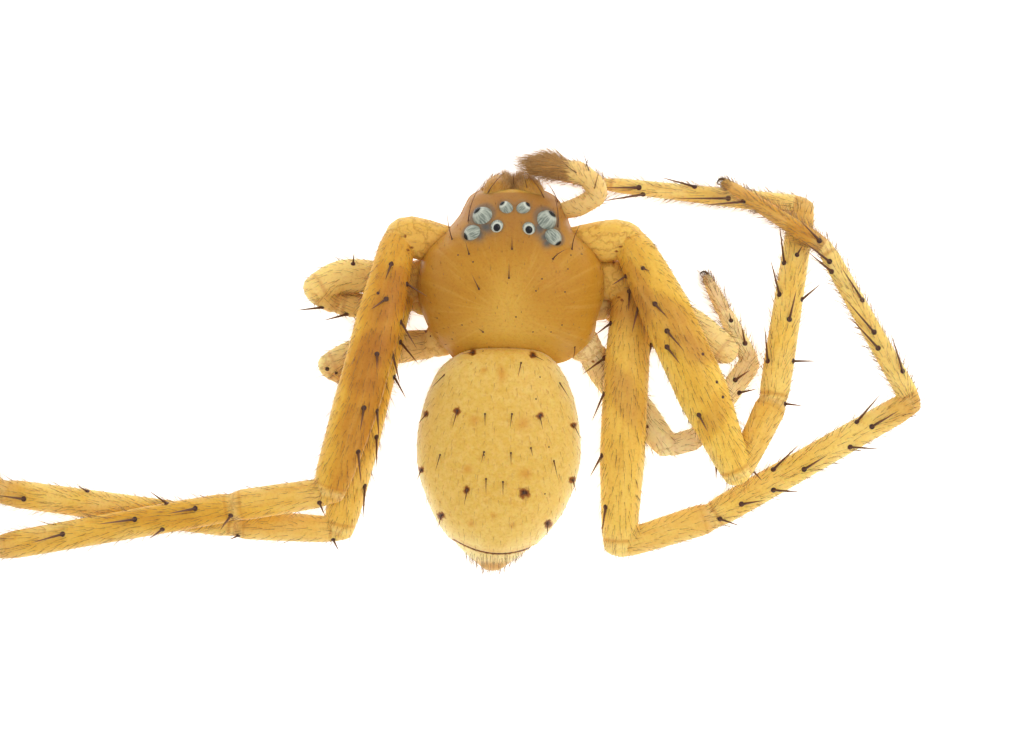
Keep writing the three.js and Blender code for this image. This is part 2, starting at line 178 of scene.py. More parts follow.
def turns(count):
    """Angles evenly round a circle."""
    return np.linspace(0, 2 * np.pi, count, endpoint=False)


def path_through(points, count):
    """A smooth path through points, evenly sampled: positions and tangents."""
    p = np.asarray(points, float)
    if len(p) == 2:
        dense = np.linspace(p[0], p[1], 60)
    else:
        ends = np.vstack([2 * p[0] - p[1], p, 2 * p[-1] - p[-2]])
        parts = []
        for i in range(1, len(ends) - 2):
            a, b, c, d = ends[i - 1], ends[i], ends[i + 1], ends[i + 2]
            t = np.linspace(0, 1, 50, endpoint=i == len(ends) - 3)[:, None]
            parts.append(0.5 * (2 * b + (c - a) * t + (2 * a - 5 * b + 4 * c - d) * t**2
                                + (3 * b - a - 3 * c + d) * t**3))
        dense = np.vstack(parts)
    length = np.concatenate([[0], np.cumsum(np.linalg.norm(np.diff(dense[:, :3], axis=0), axis=1))])
    at = np.linspace(0, length[-1], count)
    place = np.stack([np.interp(at, length, dense[:, k]) for k in range(dense.shape[1])], axis=1)
    return place, unit(np.gradient(place[:, :3], axis=0))


def ring_faces(rings, sides):
    """Quads between consecutive rings, and one face across each end."""
    i = np.arange(rings - 1)[:, None] * sides
    j = np.arange(sides)[None, :]
    k = (j + 1) % sides
    quads = np.stack([i + j, i + k, i + sides + k, i + sides + j], axis=-1).reshape(-1, 4)
    first = np.arange(sides)[::-1]
    last = np.arange(sides) + (rings - 1) * sides
    return quads, [first, last]


class Shape:
    """A growing mesh in mm: points, quads and end faces."""

    def __init__(self):
        self.points, self.faces, self.total = [], [], 0

    def add(self, points, quads, caps=()):
        self.points.append(points)
        self.faces.extend(f + self.total for f in [*quads, *caps])
        self.total += len(points)

    def shell(self):
        """The points and the quads, without the end faces."""
        return np.vstack(self.points), np.array([face for face in self.faces if len(face) == 4])


CAP_ANGLES = np.radians([12, 30, 50, 70])


def frames_of(tangents):
    """Sideways and upward ways along a path."""
    side = unit(np.cross(tangents, (0, 0, 1)))
    return side, np.cross(side, tangents)


def tube(shape, path, tangents, half, depth=1.0, reach=(0.0, 0.0), sides=20, aside=None):
    """Adds a tube with rounded ends that reach beyond the path's first and last points."""
    side, up = frames_of(tangents)
    if aside is not None:
        side = np.tile(aside, (len(path), 1))
        up = np.cross(side, tangents)
    half = np.broadcast_to(half, len(path)).astype(float)
    n = len(CAP_ANGLES)
    before, after = reach
    centre = np.vstack([path[0] - tangents[0] * before * np.cos(CAP_ANGLES)[:, None], path,
                        (path[-1] + tangents[-1] * after * np.cos(CAP_ANGLES)[:, None])[::-1]])
    size = np.concatenate([half[0] * np.sin(CAP_ANGLES), half, (half[-1] * np.sin(CAP_ANGLES))[::-1]])[:, None, None]
    side, up = (np.pad(way, ((n, n), (0, 0)), "edge") for way in (side, up))
    turn = turns(sides)[None, :, None]
    ring = centre[:, None] + side[:, None] * (np.cos(turn) * size) + up[:, None] * (np.sin(turn) * size * depth)
    quads, caps = ring_faces(len(centre), sides)
    shape.add(ring.reshape(-1, 3), quads, caps)


# How each segment's width swells along it.
SWELL = {
    "coxa": [(0, 0.9), (0.5, 1.0), (0.85, 0.98), (1, 0.82)],
    "femur": [(0, 0.78), (0.06, 0.95), (0.3, 1.0), (0.7, 1.0), (0.93, 1.0), (1, 0.9)],
    "patella": [(0, 0.8), (0.15, 0.95), (0.5, 1.0), (0.9, 1.02), (1, 0.88)],
    "tibia": [(0, 0.82), (0.06, 0.96), (0.2, 1.0), (0.93, 1.03), (1, 0.88)],
    "metatarsus": [(0, 0.82), (0.06, 1.0), (0.92, 1.02), (1, 0.84)],
    "tarsus": [(0, 0.84), (0.1, 1.0), (0.6, 1.02), (0.9, 0.9), (1, 0.7)],
}


def profile(t, table):
    """Reads a table of (place, value) pairs at t."""
    place, value = zip(*table)
    return np.interp(t, place, value)


def leg_segments(name):
    """Each segment's path, tangents and full widths along it."""
    points, (coxa, base, middle, knee, patella, tibia, metatarsus, tip) = LEGS[name]
    plan = [
        ("coxa", points[0:2], [coxa, coxa]),
        ("femur", points[1:5], [base, middle, middle, knee]),
        ("patella", points[4:6], [knee * 0.86, patella]),
        ("tibia", points[5:7], [patella, tibia]),
        ("metatarsus", points[6:8], [tibia * 0.84, metatarsus]),
        ("tarsus", points[7:9], [metatarsus, tip]),
    ]
    found = []
    for part, through, widths in plan:
        length = sum(math.dist(a, b) for a, b in zip(through, through[1:]))
        count = max(8, int(length / 0.06))
        path, tangents = path_through(through, count)
        t = np.linspace(0, 1, count)
        width = np.interp(t, np.linspace(0, 1, len(widths)), widths) * profile(t, SWELL[part])
        found.append((path, tangents, width, length))
    return found


def remeshed(shape):
    """One closed smooth skin, kept above the floor, round overlapping solids: points and quads in mm."""
    mesh = bpy.data.meshes.new("raw")
    mesh.from_pydata(np.vstack(shape.points).tolist(), [], [face.tolist() for face in shape.faces])
    obj = bpy.data.objects.new("raw", mesh)
    bpy.context.scene.collection.objects.link(obj)
    melt = obj.modifiers.new("melt", "REMESH")
    melt.mode = "VOXEL"
    melt.voxel_size = VOXEL
    soften = obj.modifiers.new("soften", "SMOOTH")
    soften.factor = 0.5
    soften.iterations = SOFTEN
    graph = bpy.context.evaluated_depsgraph_get()
    graph.update()
    done = obj.evaluated_get(graph).to_mesh()
    points = np.zeros((len(done.vertices), 3))
    done.vertices.foreach_get("co", points.ravel())
    quads = np.zeros(len(done.loops), np.int64)
    done.loops.foreach_get("vertex_index", quads)
    bpy.data.objects.remove(obj)
    bpy.data.meshes.remove(mesh)
    points[:, 2] = np.maximum(points[:, 2], 0.0)
    return points, quads.reshape(-1, 4)


def normals_of(points, quads):
    """Unit normals at the points of a quad mesh."""
    a, b, c, d = (points[quads[:, k]] for k in range(4))
    face = np.cross(c - a, d - b)
    total = np.zeros_like(points)
    for k in range(4):
        np.add.at(total, quads[:, k], face)
    return unit(total)


def facing_out(points, quads):
    """The same quads, turned if they face inwards."""
    middle = points.mean(axis=0)
    a, b, c, d = (points[quads[:, k]] - middle for k in range(4))
    volume = np.einsum("ij,ij->", a, np.cross(b, c)) + np.einsum("ij,ij->", a, np.cross(c, d))
    return quads if volume > 0 else quads[:, ::-1]


def new_mesh(name, points, quads, tris=(), values=None):
    """A smooth mesh object in metres from arrays in mm, with named values at its points."""
    mesh = bpy.data.meshes.new(name)
    loops = np.concatenate([np.ravel(quads), np.ravel(tris)]).astype(np.int32)
    sizes = np.repeat([4, 3], [len(quads), len(tris)]).astype(np.int32)
    mesh.vertices.add(len(points))
    mesh.loops.add(len(loops))
    mesh.polygons.add(len(sizes))
    mesh.vertices.foreach_set("co", (np.asarray(points) * MM).astype(np.float32).ravel())
    mesh.loops.foreach_set("vertex_index", loops)
    mesh.polygons.foreach_set("loop_start", (np.cumsum(sizes) - sizes).astype(np.int32))
    mesh.polygons.foreach_set("loop_total", sizes)
    mesh.update(calc_edges=True)
    mesh.polygons.foreach_set("use_smooth", np.full(len(sizes), True))
    for key, value in (values or {}).items():
        kind, field = ("FLOAT_VECTOR", "vector") if value.ndim == 2 else ("FLOAT", "value")
        mesh.attributes.new(key, kind, "POINT").data.foreach_set(field, value.astype(np.float32).ravel())
    obj = bpy.data.objects.new(name, mesh)
    bpy.context.scene.collection.objects.link(obj)
    return obj


def piece(name, material, slot, points, quads, tris=(), values=None, nodes=()):
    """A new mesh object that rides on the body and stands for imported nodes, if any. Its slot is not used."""
    obj = new_mesh(name, points, quads, tris, values)
    obj.data.materials.append(material)
    if nodes:
        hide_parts(*nodes)
    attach(obj, "root")
    return obj


def joined(meshes):
    """Meshes, each given as its points and one or more sets of faces, as a single one."""
    points, *face_sets = zip(*meshes)
    firsts = np.cumsum([0, *map(len, points)])
    return np.vstack(points), *(np.vstack([faces + first for faces, first in zip(sets, firsts)])
                                for sets in face_sets)


def photo_point(px, py, height):
    """The place in mm that the photograph's pixel shows at a height."""
    shrink = (DISTANCE - (height - FOCUS_HEIGHT)) / DISTANCE
    return np.array([VIEW_CENTRE[0] + (px - PHOTO_WIDTH / 2) * PIXEL * shrink,
                     VIEW_CENTRE[1] + (PHOTO_HEIGHT / 2 - py) * PIXEL * shrink, height])


class Part:
    """A finished stretch of skin with what its colours and hairs need to know."""

    def __init__(self, kind, points, quads, **values):
        self.kind, self.points, self.quads, self.values = kind, points, quads, values
        self.normals = normals_of(points, quads)


# Legs: each is a set of overlapping tubes melted into one skin. Ends reach by a share of the width.
VOXEL = 0.034
SOFTEN = 4
REACH, TIP_REACH = 0.34, 0.25
BALL = {FEMUR: 0.5, PATELLA: 0.41, TIBIA: 0.43, METATARSUS: 0.41, TARSUS: 0.42}
BALL_STEP = 0.01
STRETCH = 0.1  # the fibres' pattern changes this much more slowly along a leg than across it
CHUNK = 4000

parts = []
for leg in LEGS:
    shape = Shape()
    stations = []
    travelled = 0.0
    for k, (path, tangents, widths, length) in enumerate(leg_segments(leg)):
        last = TIP_REACH if k == TARSUS else REACH
        tube(shape, path, tangents, widths / 2, LEG_DEPTH, (widths[0] * REACH, widths[-1] * last))
        if k:
            ball = path[:1] + tangents[:1] * np.array([[-BALL_STEP], [BALL_STEP]])
            size = widths[0] * BALL[k]
            tube(shape, ball, np.repeat(tangents[:1], 2, 0), size, LEG_DEPTH, (size, size))
        along = np.linspace(0, length, len(path))
        stations.append((path, tangents, widths, np.full(len(path), k), along, length - along, travelled + along))
        travelled += length
    centre, tangent, width, index, start, end, whole = map(np.concatenate, zip(*stations))
    points, quads = remeshed(shape)
    nearest = np.zeros(len(points), int)
    for first in range(0, len(points), CHUNK):
        gap = np.linalg.norm(points[first:first + CHUNK, None] - centre[None], axis=2) / width[None]
        nearest[first:first + CHUNK] = gap.argmin(axis=1)
    side, up = frames_of(tangent)
    offset = points - centre[nearest]
    slide, across, over = (np.einsum("ij,ij->i", offset, way[nearest]) for way in (tangent, side, up))
    whole = whole[nearest] + slide
    parts.append(Part(
        leg, points, quads, segment=index[nearest], axis=tangent[nearest],
        start=start[nearest] + slide, end=end[nearest] - slide,
        unwrap=np.stack([whole / travelled, np.arctan2(over, across) / (2 * np.pi) + 0.5], 1),
        fibre=np.stack([across, over, whole * STRETCH], 1)))


def body_shell(sections, margin, power, rings, sides):
    """Points and quads of a body swept through its sections, which are squarer for a higher power."""
    table, _ = path_through([(y, half, (top + bottom) / 2, x, top, bottom)
                             for y, x, half, top, bottom in sections], rings)
    y, half, _, x, top, bottom = table.T[..., None]
    level = np.clip(margin, bottom, top) if margin else (top + bottom) / 2
    cos, sin = (np.sign(wave) * np.abs(wave) ** (2 / power) for wave in (np.cos(turns(sides)), np.sin(turns(sides))))
    height = level + np.where(sin > 0, (top - level) * sin, (level - bottom) * sin)
    width = x + np.maximum(half, 0.01) * cos
    points = np.stack([width, np.repeat(y, sides, 1), height], -1).reshape(-1, 3)
    quads, _ = ring_faces(rings, sides)
    return points, facing_out(points, quads)


# Abdomen, with a sharp fold across its back before the tip, and a step down behind the fold
FOLD_Y, FOLD_RISE, FOLD_TILT, FOLD_HALF, FOLD_X = -2.61, 0.26, -0.08, 1.0, -0.15
FOLD_DEPTH, STEP_DEPTH = 0.05, 0.035
points, quads = body_shell(ABDOMEN, None, ABDOMEN_ROUND, 300, 280)
points[:, 2] = np.maximum(points[:, 2], 0.0)
aside = (points[:, 0] - FOLD_X) / FOLD_HALF
fold_at = FOLD_Y + FOLD_RISE * aside**2 + FOLD_TILT * aside
upper = band(points[:, 2], 0.8, 1.1) * band(np.abs(aside), 1.12, 0.98)
# fold marks the crease, which is dented and painted dark as shade in it; shade is the strip just before it, painted as
# shade falling towards the crease.
fold = bell(points[:, 1] - fold_at, 0.03) * upper
behind = band(fold_at - points[:, 1], 0.0, 0.06) * upper
shade = band(points[:, 1] - fold_at, 0.16, 0.02) * (1 - behind) * upper
points -= normals_of(points, quads) * (FOLD_DEPTH * fold + STEP_DEPTH * behind)[:, None]
parts.append(Part("abdomen", points, quads, fold=fold, shade=shade))

# Carapace, with low swellings under the eyes, a short groove on top and a raised margin
GROOVE = (0.2, 3.4)
GROOVE_DEPTH = MARGIN_RISE = 0.03
points, quads = body_shell(CARAPACE, CARAPACE_MARGIN, CARAPACE_ROUND, 260, 280)
lift = np.zeros(len(points))
for place, (_, wide, _), *_ in EYES.values():
    lift += bell(np.linalg.norm(points - place, axis=1), wide * 1.3) * wide * 0.1
groove = bell(points[:, 0] - GROOVE[0], 0.07) * bell(points[:, 1] - GROOVE[1], 0.35) * band(points[:, 2], 2, 2.5)
margin = bell(points[:, 2] - CARAPACE_MARGIN, 0.07)
points += normals_of(points, quads) * (lift - GROOVE_DEPTH * groove + MARGIN_RISE * margin)[:, None]
parts.append(Part("carapace", points, quads))


def melted(kind, add, pieces):
    """Makes a part of the overlapping pieces that add puts in a shape."""
    shape = Shape()
    for measures in pieces:
        add(shape, *measures)
    parts.append(Part(kind, *remeshed(shape)))


def strand(shape, points, widths, depth=0.9, reach=0.35, sides=20):
    """Adds a tapered tube through a few points."""
    path, tangents = path_through(points, 40)
    half = np.interp(np.linspace(0, 1, 40), np.linspace(0, 1, len(widths)), widths) / 2
    tube(shape, path, tangents, half, depth, (half[0] * 2 * reach, half[-1] * 2 * reach), sides)


CHELICERA_SWELL = [(0, 0.35), (0.06, 0.78), (0.2, 0.98), (0.5, 1.0), (0.85, 0.76), (0.96, 0.5), (1, 0.2)]
CHELICERAE = {  # top and bottom of its axis, half width and half depth
    "right_chelicera": ((0.76, 6.3, 2.2), (0.54, 6.6, 0.78), 0.42, 0.43),
    "left_chelicera": ((-0.11, 6.31, 2.2), (0.06, 6.6, 0.78), 0.39, 0.43),
}
JAW_RINGS = 24


def chelicera(shape, top, bottom, half_x, half_y):
    """Adds a jaw that stands nearly upright under the head's front."""
    t = np.linspace(0, 1, JAW_RINGS)[:, None]
    size = profile(t, CHELICERA_SWELL)
    centre = np.array(top) * (1 - t) + np.array(bottom) * t
    turn = turns(JAW_RINGS)[None]
    ring = centre[:, None] + np.stack([np.cos(turn) * half_x * size, np.sin(turn) * half_y * size,
                                       np.zeros((JAW_RINGS, JAW_RINGS))], -1)
    quads, caps = ring_faces(JAW_RINGS, JAW_RINGS)
    shape.add(ring.reshape(-1, 3), quads[:, ::-1], [cap[::-1] for cap in caps])


for name, measures in CHELICERAE.items():
    melted(name, chelicera, [measures])

PALPS = {
    "right_palp": [
        ([(1.45, 5.95, 1.6), (1.95, 6.08, 1.75), (2.42, 6.34, 1.92)], [0.4, 0.5, 0.5]),
        ([(2.44, 6.36, 1.92), (2.36, 6.62, 2.0), (2.12, 6.84, 2.02)], [0.52, 0.54, 0.52]),
        ([(2.12, 6.86, 2.02), (1.95, 6.93, 2.02), (1.75, 6.98, 2.0)], [0.48, 0.58, 0.54]),
        ([(1.7, 7.0, 2.0), (1.25, 7.1, 1.95), (0.8, 7.1, 1.88)], [0.44, 0.58, 0.4]),
    ],
    "left_palp": [
        ([(-0.65, 5.65, 1.2), (-0.68, 5.85, 0.85), (-0.6, 6.05, 0.5)], [0.36, 0.4, 0.4]),
        ([(-0.6, 6.05, 0.5), (-0.5, 6.25, 0.38), (-0.3, 6.45, 0.33)], [0.38, 0.4, 0.4]),
        ([(-0.3, 6.45, 0.33), (-0.1, 6.62, 0.32), (0.12, 6.8, 0.28)], [0.36, 0.42, 0.3]),
    ],
}


for name, pieces in PALPS.items():
    melted(name, strand, pieces)

# The breastplate, the lip, the jaw bases and the waist
UNDERSIDE = [
    ([(0.27, 2.9, 1.1), (0.27, 3.9, 0.98), (0.27, 5.0, 1.05)], [0.9, 1.6, 1.3], 0.5),
    ([(0.27, 5.2, 1.0), (0.27, 5.55, 0.92)], [0.55, 0.4], 0.5),
    ([(1.02, 5.1, 1.1), (0.69, 5.9, 0.9)], [0.5, 0.42], 0.6),
    ([(-0.48, 5.1, 1.1), (-0.15, 5.9, 0.9)], [0.5, 0.42], 0.6),
    ([(0.2, 2.9, 1.4), (0.1, 2.1, 1.5)], [0.5, 0.5], 1.0),
]
melted("underside", strand, UNDERSIDE)

# Three pairs of short cones under the rear, as sideways place, y and width
SPINNERET_CONES = ((0.15, -2.32, 0.2), (0.1, -2.45, 0.12), (0.17, -2.5, 0.18))
melted("spinnerets", strand, [
    ([(-0.13 + way * x, y + 0.15, 0.62), (-0.17 + way * x * 0.7, y - 0.28, 0.42)],
     [width * 1.2, width * 0.7], 1.0, 0.3, 14)
    for x, y, width in SPINNERET_CONES for way in (-1, 1)])

# How thick the animal is along a plumb line. It paints transmitted light and shade into the colour: pale where the
# body is thin, and darker amber where parts are thick or stacked over one another, as if lit from below through it.
CELL = 0.045
BLUR = 3
lo = np.min([p.points.min(axis=0) for p in parts], axis=0)[:2] - 0.3
size = ((np.max([p.points.max(axis=0) for p in parts], axis=0)[:2] + 0.3 - lo) / CELL).astype(int) + 2


def shifted(grid):
    """The grid and its eight neighbours' values."""
    return np.stack([np.roll(grid, (i, j), (0, 1)) for i in (-1, 0, 1) for j in (-1, 0, 1)])


column = np.zeros(size)
for part in parts:
    cell = ((part.points[:, :2] - lo) / CELL).astype(int)
    high, low = np.full(size, -1.0), np.full(size, 99.0)
    np.maximum.at(high, (cell[:, 0], cell[:, 1]), part.points[:, 2])
    np.minimum.at(low, (cell[:, 0], cell[:, 1]), part.points[:, 2])
    covered = (shifted(high) > 0).sum(axis=0) > 4
    column += np.where(covered, shifted(high).max(axis=0) - shifted(low).min(axis=0), 0)
for _ in range(BLUR):
    column = shifted(column).mean(axis=0)


def column_at(points):
    """The animal's thickness under and over each point, in mm."""
    place = (points[:, :2] - lo) / CELL - 0.5
    cell = np.floor(place).astype(int)
    fx, fy = (place - cell).T
    i, j = cell.T
    return ((column[i, j] * (1 - fx) + column[i + 1, j] * fx) * (1 - fy)
            + (column[i, j + 1] * (1 - fx) + column[i + 1, j + 1] * fx) * fy)


# Abdomen marks in the photograph's pixels: brown spots with a bristle, then soft orange spots.
BROWN_SPOTS = [
    (473, 352, 461, 354, 4), (533, 355, 545, 361, 4), (457, 411, 452, 429, 4.2), (540, 416, 543, 430, 4),
    (426, 414, 417, 425, 3.5), (574, 425, 581, 439, 3.5), (421, 470, 416, 482, 3.5), (573, 480, 577, 495, 4),
    (467, 490, 464, 506, 4), (524, 493, 526, 497, 6), (441, 516, 437, 530, 4.5), (548, 524, 547, 540, 4.5),
]
ORANGE_SPOTS = [
    (501.5, 374, 4, 9), (474, 420, 5, 5), (523, 423, 6, 6), (468, 469, 5, 4), (526, 474, 6, 5),
    (484, 370, 3, 3), (494, 516, 3, 3), (471, 524, 3, 3), (513, 525, 3, 3),
]
# Dusky smudges beside the eyes, and small hardened bits at the leg joints
SMUDGES = [
    (486, 227, 9, 7), (479, 234, 6, 7), (540, 228, 7, 8), (545, 237, 6, 6), (547, 243, 5, 5),
]
HINGES = [
    (621, 246, 2.5, 1.5), (617, 251, 2, 1.5), (619, 297, 2, 2), (622, 300, 2, 1.5), (614, 262, 1.5, 3),
    (411, 247, 2.5, 1.5), (408, 250, 2, 1.5), (405, 236, 1.5, 2.5), (425, 331, 2, 2), (594, 362, 2, 2),
]
HIGH = 2.8


def spot_mask(points, spots):
    """How strongly each point is in one of the spots, given as x, y and two radii in pixels."""
    mask = np.zeros(len(points))
    for px, py, rx, ry in spots:
        x, y, _ = photo_point(px, py, HIGH)
        far = np.hypot((points[:, 0] - x) / (rx * PIXEL), (points[:, 1] - y) / (ry * PIXEL))
        mask = np.maximum(mask, bell(far, 1.0))
    return mask


GROUPS = {  # group: its slot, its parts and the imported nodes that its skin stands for
    "carapace": ("carapace", ["carapace", "right_chelicera", "left_chelicera", "underside"],
                 ["cephalothorax", "right_chelicera", "left_chelicera"]),
    "abdomen": ("abdomen", ["abdomen", "spinnerets"], ["abdomen", "spinnerets"]),
    "right_palp": ("palp", ["right_palp"], ["right_palp"]),
    "left_palp": ("palp", ["left_palp"], ["left_palp"]),
    **{leg: ("leg", [leg], [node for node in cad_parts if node.startswith(leg)]) for leg in LEGS},
}

MARKS = ("thick", "brown", "pale", "mark", "orange", "grey", "folds", "light")
# Painted light for whole legs: the right legs paler and lighter and the left front legs browner, standing for light
# from the right; the rear legs lighter, standing for light shining through them from the floor.
LEG_PAINTED_LIGHT = {  # how pale, how light and how brown a whole leg is
    "right_leg_1": (0.05, 0, 0), "right_leg_2": (0.15, 0, 0), "right_leg_3": (0.65, 0.25, 0),
    "right_leg_4": (0.95, 0.6, 0), "left_leg_1": (0, 0, 0.22), "left_leg_2": (0.05, 0, 0.1),
    "left_leg_3": (0.5, 0.1, 0), "left_leg_4": (0.5, 0.25, 0),
}


def paint(part):
    """The values that the part's material reads at each point."""
    p = part.points
    x, y, z = p.T
    fill = {key: np.zeros(len(p)) for key in MARKS}
    fill["thick"] = column_at(p)
    fill["fibre"] = p.copy()

    def at_least(key, *values):
        for value in values:
            fill[key] = np.maximum(fill[key], value)

    if part.kind in ("abdomen", "spinnerets"):
        topside = band(z, 0.9, 1.3)
        at_least("mark", spot_mask(p, [(px, py, r, r) for px, py, _, _, r in BROWN_SPOTS]) * topside)
        at_least("orange", np.maximum(spot_mask(p, ORANGE_SPOTS) * 0.9, band(y, -2.72, -2.9)) * topside)
        if part.kind == "abdomen":
            # The fold's dark line and the amber strip before it are painted shade in the crease.
            at_least("mark", part.values["fold"])
            at_least("orange", part.values["shade"] * 0.6)
        at_least("pale", band(z, 2.1, 0.9) * 0.5)
        # Painted glow: a lighter colour on the steep lower sides, where light would shine through the thin rim.
        at_least("light", band(part.normals[:, 2], 0.5, 0.0) * band(z, 0.4, 1.0) * 0.55)
    elif part.kind in ("carapace", "underside") or "chelicera" in part.kind:
        radial = p[:, :2] - GROOVE
        far = np.linalg.norm(radial, axis=1)
        ray = radial / np.maximum(far, 0.05)[:, None]
        fill["fibre"] = np.stack([ray[:, 0] * 1.6, ray[:, 1] * 1.6, far * 0.14 + z * 0.1], 1)
        if part.kind == "carapace":
            patch = np.interp(y, [2.6, 3.2, 3.9, 4.8, 5.4], [1.5, 0.85, 0.5, 0.75, 0.5])
            rim = band(y, 6.38, 6.48) * band(z, 1.9, 2.1)
            at_least("pale", bell(x - GROOVE[0], patch) * band(y, 5.2, 3.5) * 0.7, rim * 0.8,
                     bell(z - CARAPACE_MARGIN, 0.1) * band(y, 5.6, 5.2) * 0.7)
            # Browner towards the front is the carapace's own colour; the brown towards the left side is painted shade,
            # the left lying away from the light.
            at_least("brown", band(y, 4.6, 6.0) * (1 - rim) * 0.75, band(-x, 0.6, 2.0) * 0.25)
        else:
            at_least("pale", 0.2)
            at_least("brown", band(z, 1.2, 1.9) * 0.45)
        at_least("grey", spot_mask(p, SMUDGES) * band(z, 2.0, 2.3))
        for node, (place, half, *_) in EYES.items():
            away = np.linalg.norm((p - place) / (half[0] * 1.12), axis=1)
            at_least("grey", band(away, 1.35, 0.95) * (0.6 if "side" in node else 0.25))
    elif part.kind in LEGS:
        segment, start, end = (part.values[key] for key in ("segment", "start", "end"))
        fill["fibre"] = part.values["fibre"]
        # Painted light for the whole leg, read from the table above.
        pale, light, brown = LEG_PAINTED_LIGHT[part.kind]
        joint = np.minimum(start, np.where(segment == TARSUS, 9, end))
        root = band(start, 2.2, 0.4) * (segment == FEMUR) + (segment == COXA) * 0.6
        at_least("pale", np.maximum(bell(joint, 0.1) * 0.7, pale) * (segment > COXA), (segment == COXA) * 0.2)
        at_least("light", light)
        # Brown: the legs' own dark joints, ends and femur bases, plus painted shade from the whole-leg table and the
        # extra brown at the left front femur's base.
        at_least("brown", bell(joint - 0.18, 0.05) * 0.5 * (segment > COXA), brown * (segment <= TIBIA),
                 band(end, 1.2, 0.1) * 0.4 * (segment == TIBIA), band(end, 0.8, 0.1) * 0.3 * (segment == PATELLA),
                 (segment == TARSUS) * 0.5, (segment == PATELLA) * 0.15,
                 root * (0.45 if part.kind == "left_leg_1" else 0.22))
        # folds: where the wrinkle lines fall, which are darkened as painted shade in the creases.
        at_least("folds", (segment == COXA) * 0.8, bell(joint, 0.16) * 0.7)
        at_least("mark", spot_mask(p, HINGES) * (segment <= FEMUR) * 0.8)
    elif part.kind == "right_palp":
        at_least("brown", band(x, 1.75, 1.45) * band(y, 6.7, 6.85) * 0.8)
        at_least("pale", (1 - fill["brown"]) * 0.6)
    elif part.kind == "left_palp":
        at_least("brown", band(y, 6.3, 6.6))
    return fill


# Materials
def tint(red, green, blue):
    """A colour given as a screen shows it, 0 to 255."""
    return tuple(((v / 255 + 0.055) / 1.055) ** 2.4 for v in (red, green, blue))


class Look:
    """A new material, the colour it has so far, and short ways to add its nodes."""

    def __init__(self, name, *colour):
        self.material = bpy.data.materials.new(name)
        self.material.use_nodes = True
        self.tree = self.material.node_tree
        self.shader = self.tree.nodes["Principled BSDF"]
        self.colour = tint(*colour) if colour else None

    def add(self, kind, inputs=None, **settings):
        node = self.tree.nodes.new(kind)
        for key, value in settings.items():
            setattr(node, key, value)
        for key, value in (inputs or {}).items():
            if isinstance(value, bpy.types.NodeSocket):
                self.tree.links.new(value, node.inputs[key])
            elif isinstance(value, tuple):
                node.inputs[key].default_value = (*value, 1)
            else:
                node.inputs[key].default_value = value
        return node

    def link(self, value, name):
        self.tree.links.new(value, self.shader.inputs[name])

    def set(self, **values):
        for key, value in values.items():
            self.shader.inputs[key.replace("_", " ")].default_value = value

    def value(self, name):
        return self.add("ShaderNodeAttribute", attribute_name=name).outputs["Fac"]

    def stain(self, factor, red, green, blue, blend="MIX"):
        """Lays a tint over the colour so far by a factor, which may be the name of a stored value."""
        factor = self.value(factor) if isinstance(factor, str) else factor
        self.colour = self.add("ShaderNodeMix", {0: factor, 6: self.colour, 7: tint(red, green, blue)},
                               data_type="RGBA", blend_type=blend).outputs[2]
        self.link(self.colour, "Base Color")

    def ramp(self, factor, stops):
        node = self.add("ShaderNodeValToRGB", {"Fac": factor})
        elements = node.color_ramp.elements
        while len(elements) < len(stops):
            elements.new(0.5)
        for element, (place, colour) in zip(elements, stops):
            element.position = place
            element.color = (*colour, 1)
        return node.outputs["Color"]

    def scaled(self, value, low, high, to_low=0.0, to_high=1.0):
        return self.add("ShaderNodeMapRange", {"Value": value, "From Min": low, "From Max": high,
                                               "To Min": to_low, "To Max": to_high}).outputs["Result"]

    def math(self, operation, a, b):
        return self.add("ShaderNodeMath", {0: a, 1: b}, operation=operation).outputs[0]

    def noise(self, scale, detail=3.0, along=None):
        """Noise with features of 1 / scale: metres of the object, or units of a stored vector."""
        if along:
            place = self.add("ShaderNodeAttribute", attribute_name=along).outputs["Vector"]
        else:
            place = self.add("ShaderNodeTexCoord").outputs["Object"]
        return self.add("ShaderNodeTexNoise", {"Vector": place, "Scale": scale, "Detail": detail}).outputs["Fac"]

    def bump(self, height, distance, strength, under=None):
        inputs = {"Height": height, "Distance": distance, "Strength": strength}
        return self.add("ShaderNodeBump", {**inputs, "Normal": under} if under else inputs).outputs["Normal"]


THICKEST = 3.0
CUTICLES = {  # slot: colour by thickness from 0 to THICKEST, density and strength of fibres, pale and brown tints
    "leg": ([(0.0, 253, 236, 168), (0.1, 248, 218, 128), (0.22, 242, 200, 84), (0.34, 231, 182, 62),
             (0.52, 208, 150, 50), (0.8, 178, 118, 40)], 22.0, 0.2, (248, 220, 138), (196, 118, 30)),
    "palp": ([(0.0, 250, 226, 160), (0.2, 236, 196, 112), (0.5, 214, 166, 76)],
             0.0, 0.0, (242, 206, 132), (206, 150, 84)),
    "carapace": ([(0.0, 238, 190, 92), (0.12, 214, 160, 56), (0.35, 200, 144, 42), (0.8, 192, 136, 38)],
                 26.0, 0.16, (222, 176, 76), (162, 112, 56)),
    "abdomen": ([(0.0, 255, 244, 200), (0.3, 252, 232, 164), (0.6, 230, 192, 98), (0.92, 224, 182, 82)],
                0.0, 0.0, (248, 222, 150), (170, 110, 40)),
}
LOOKS = {}
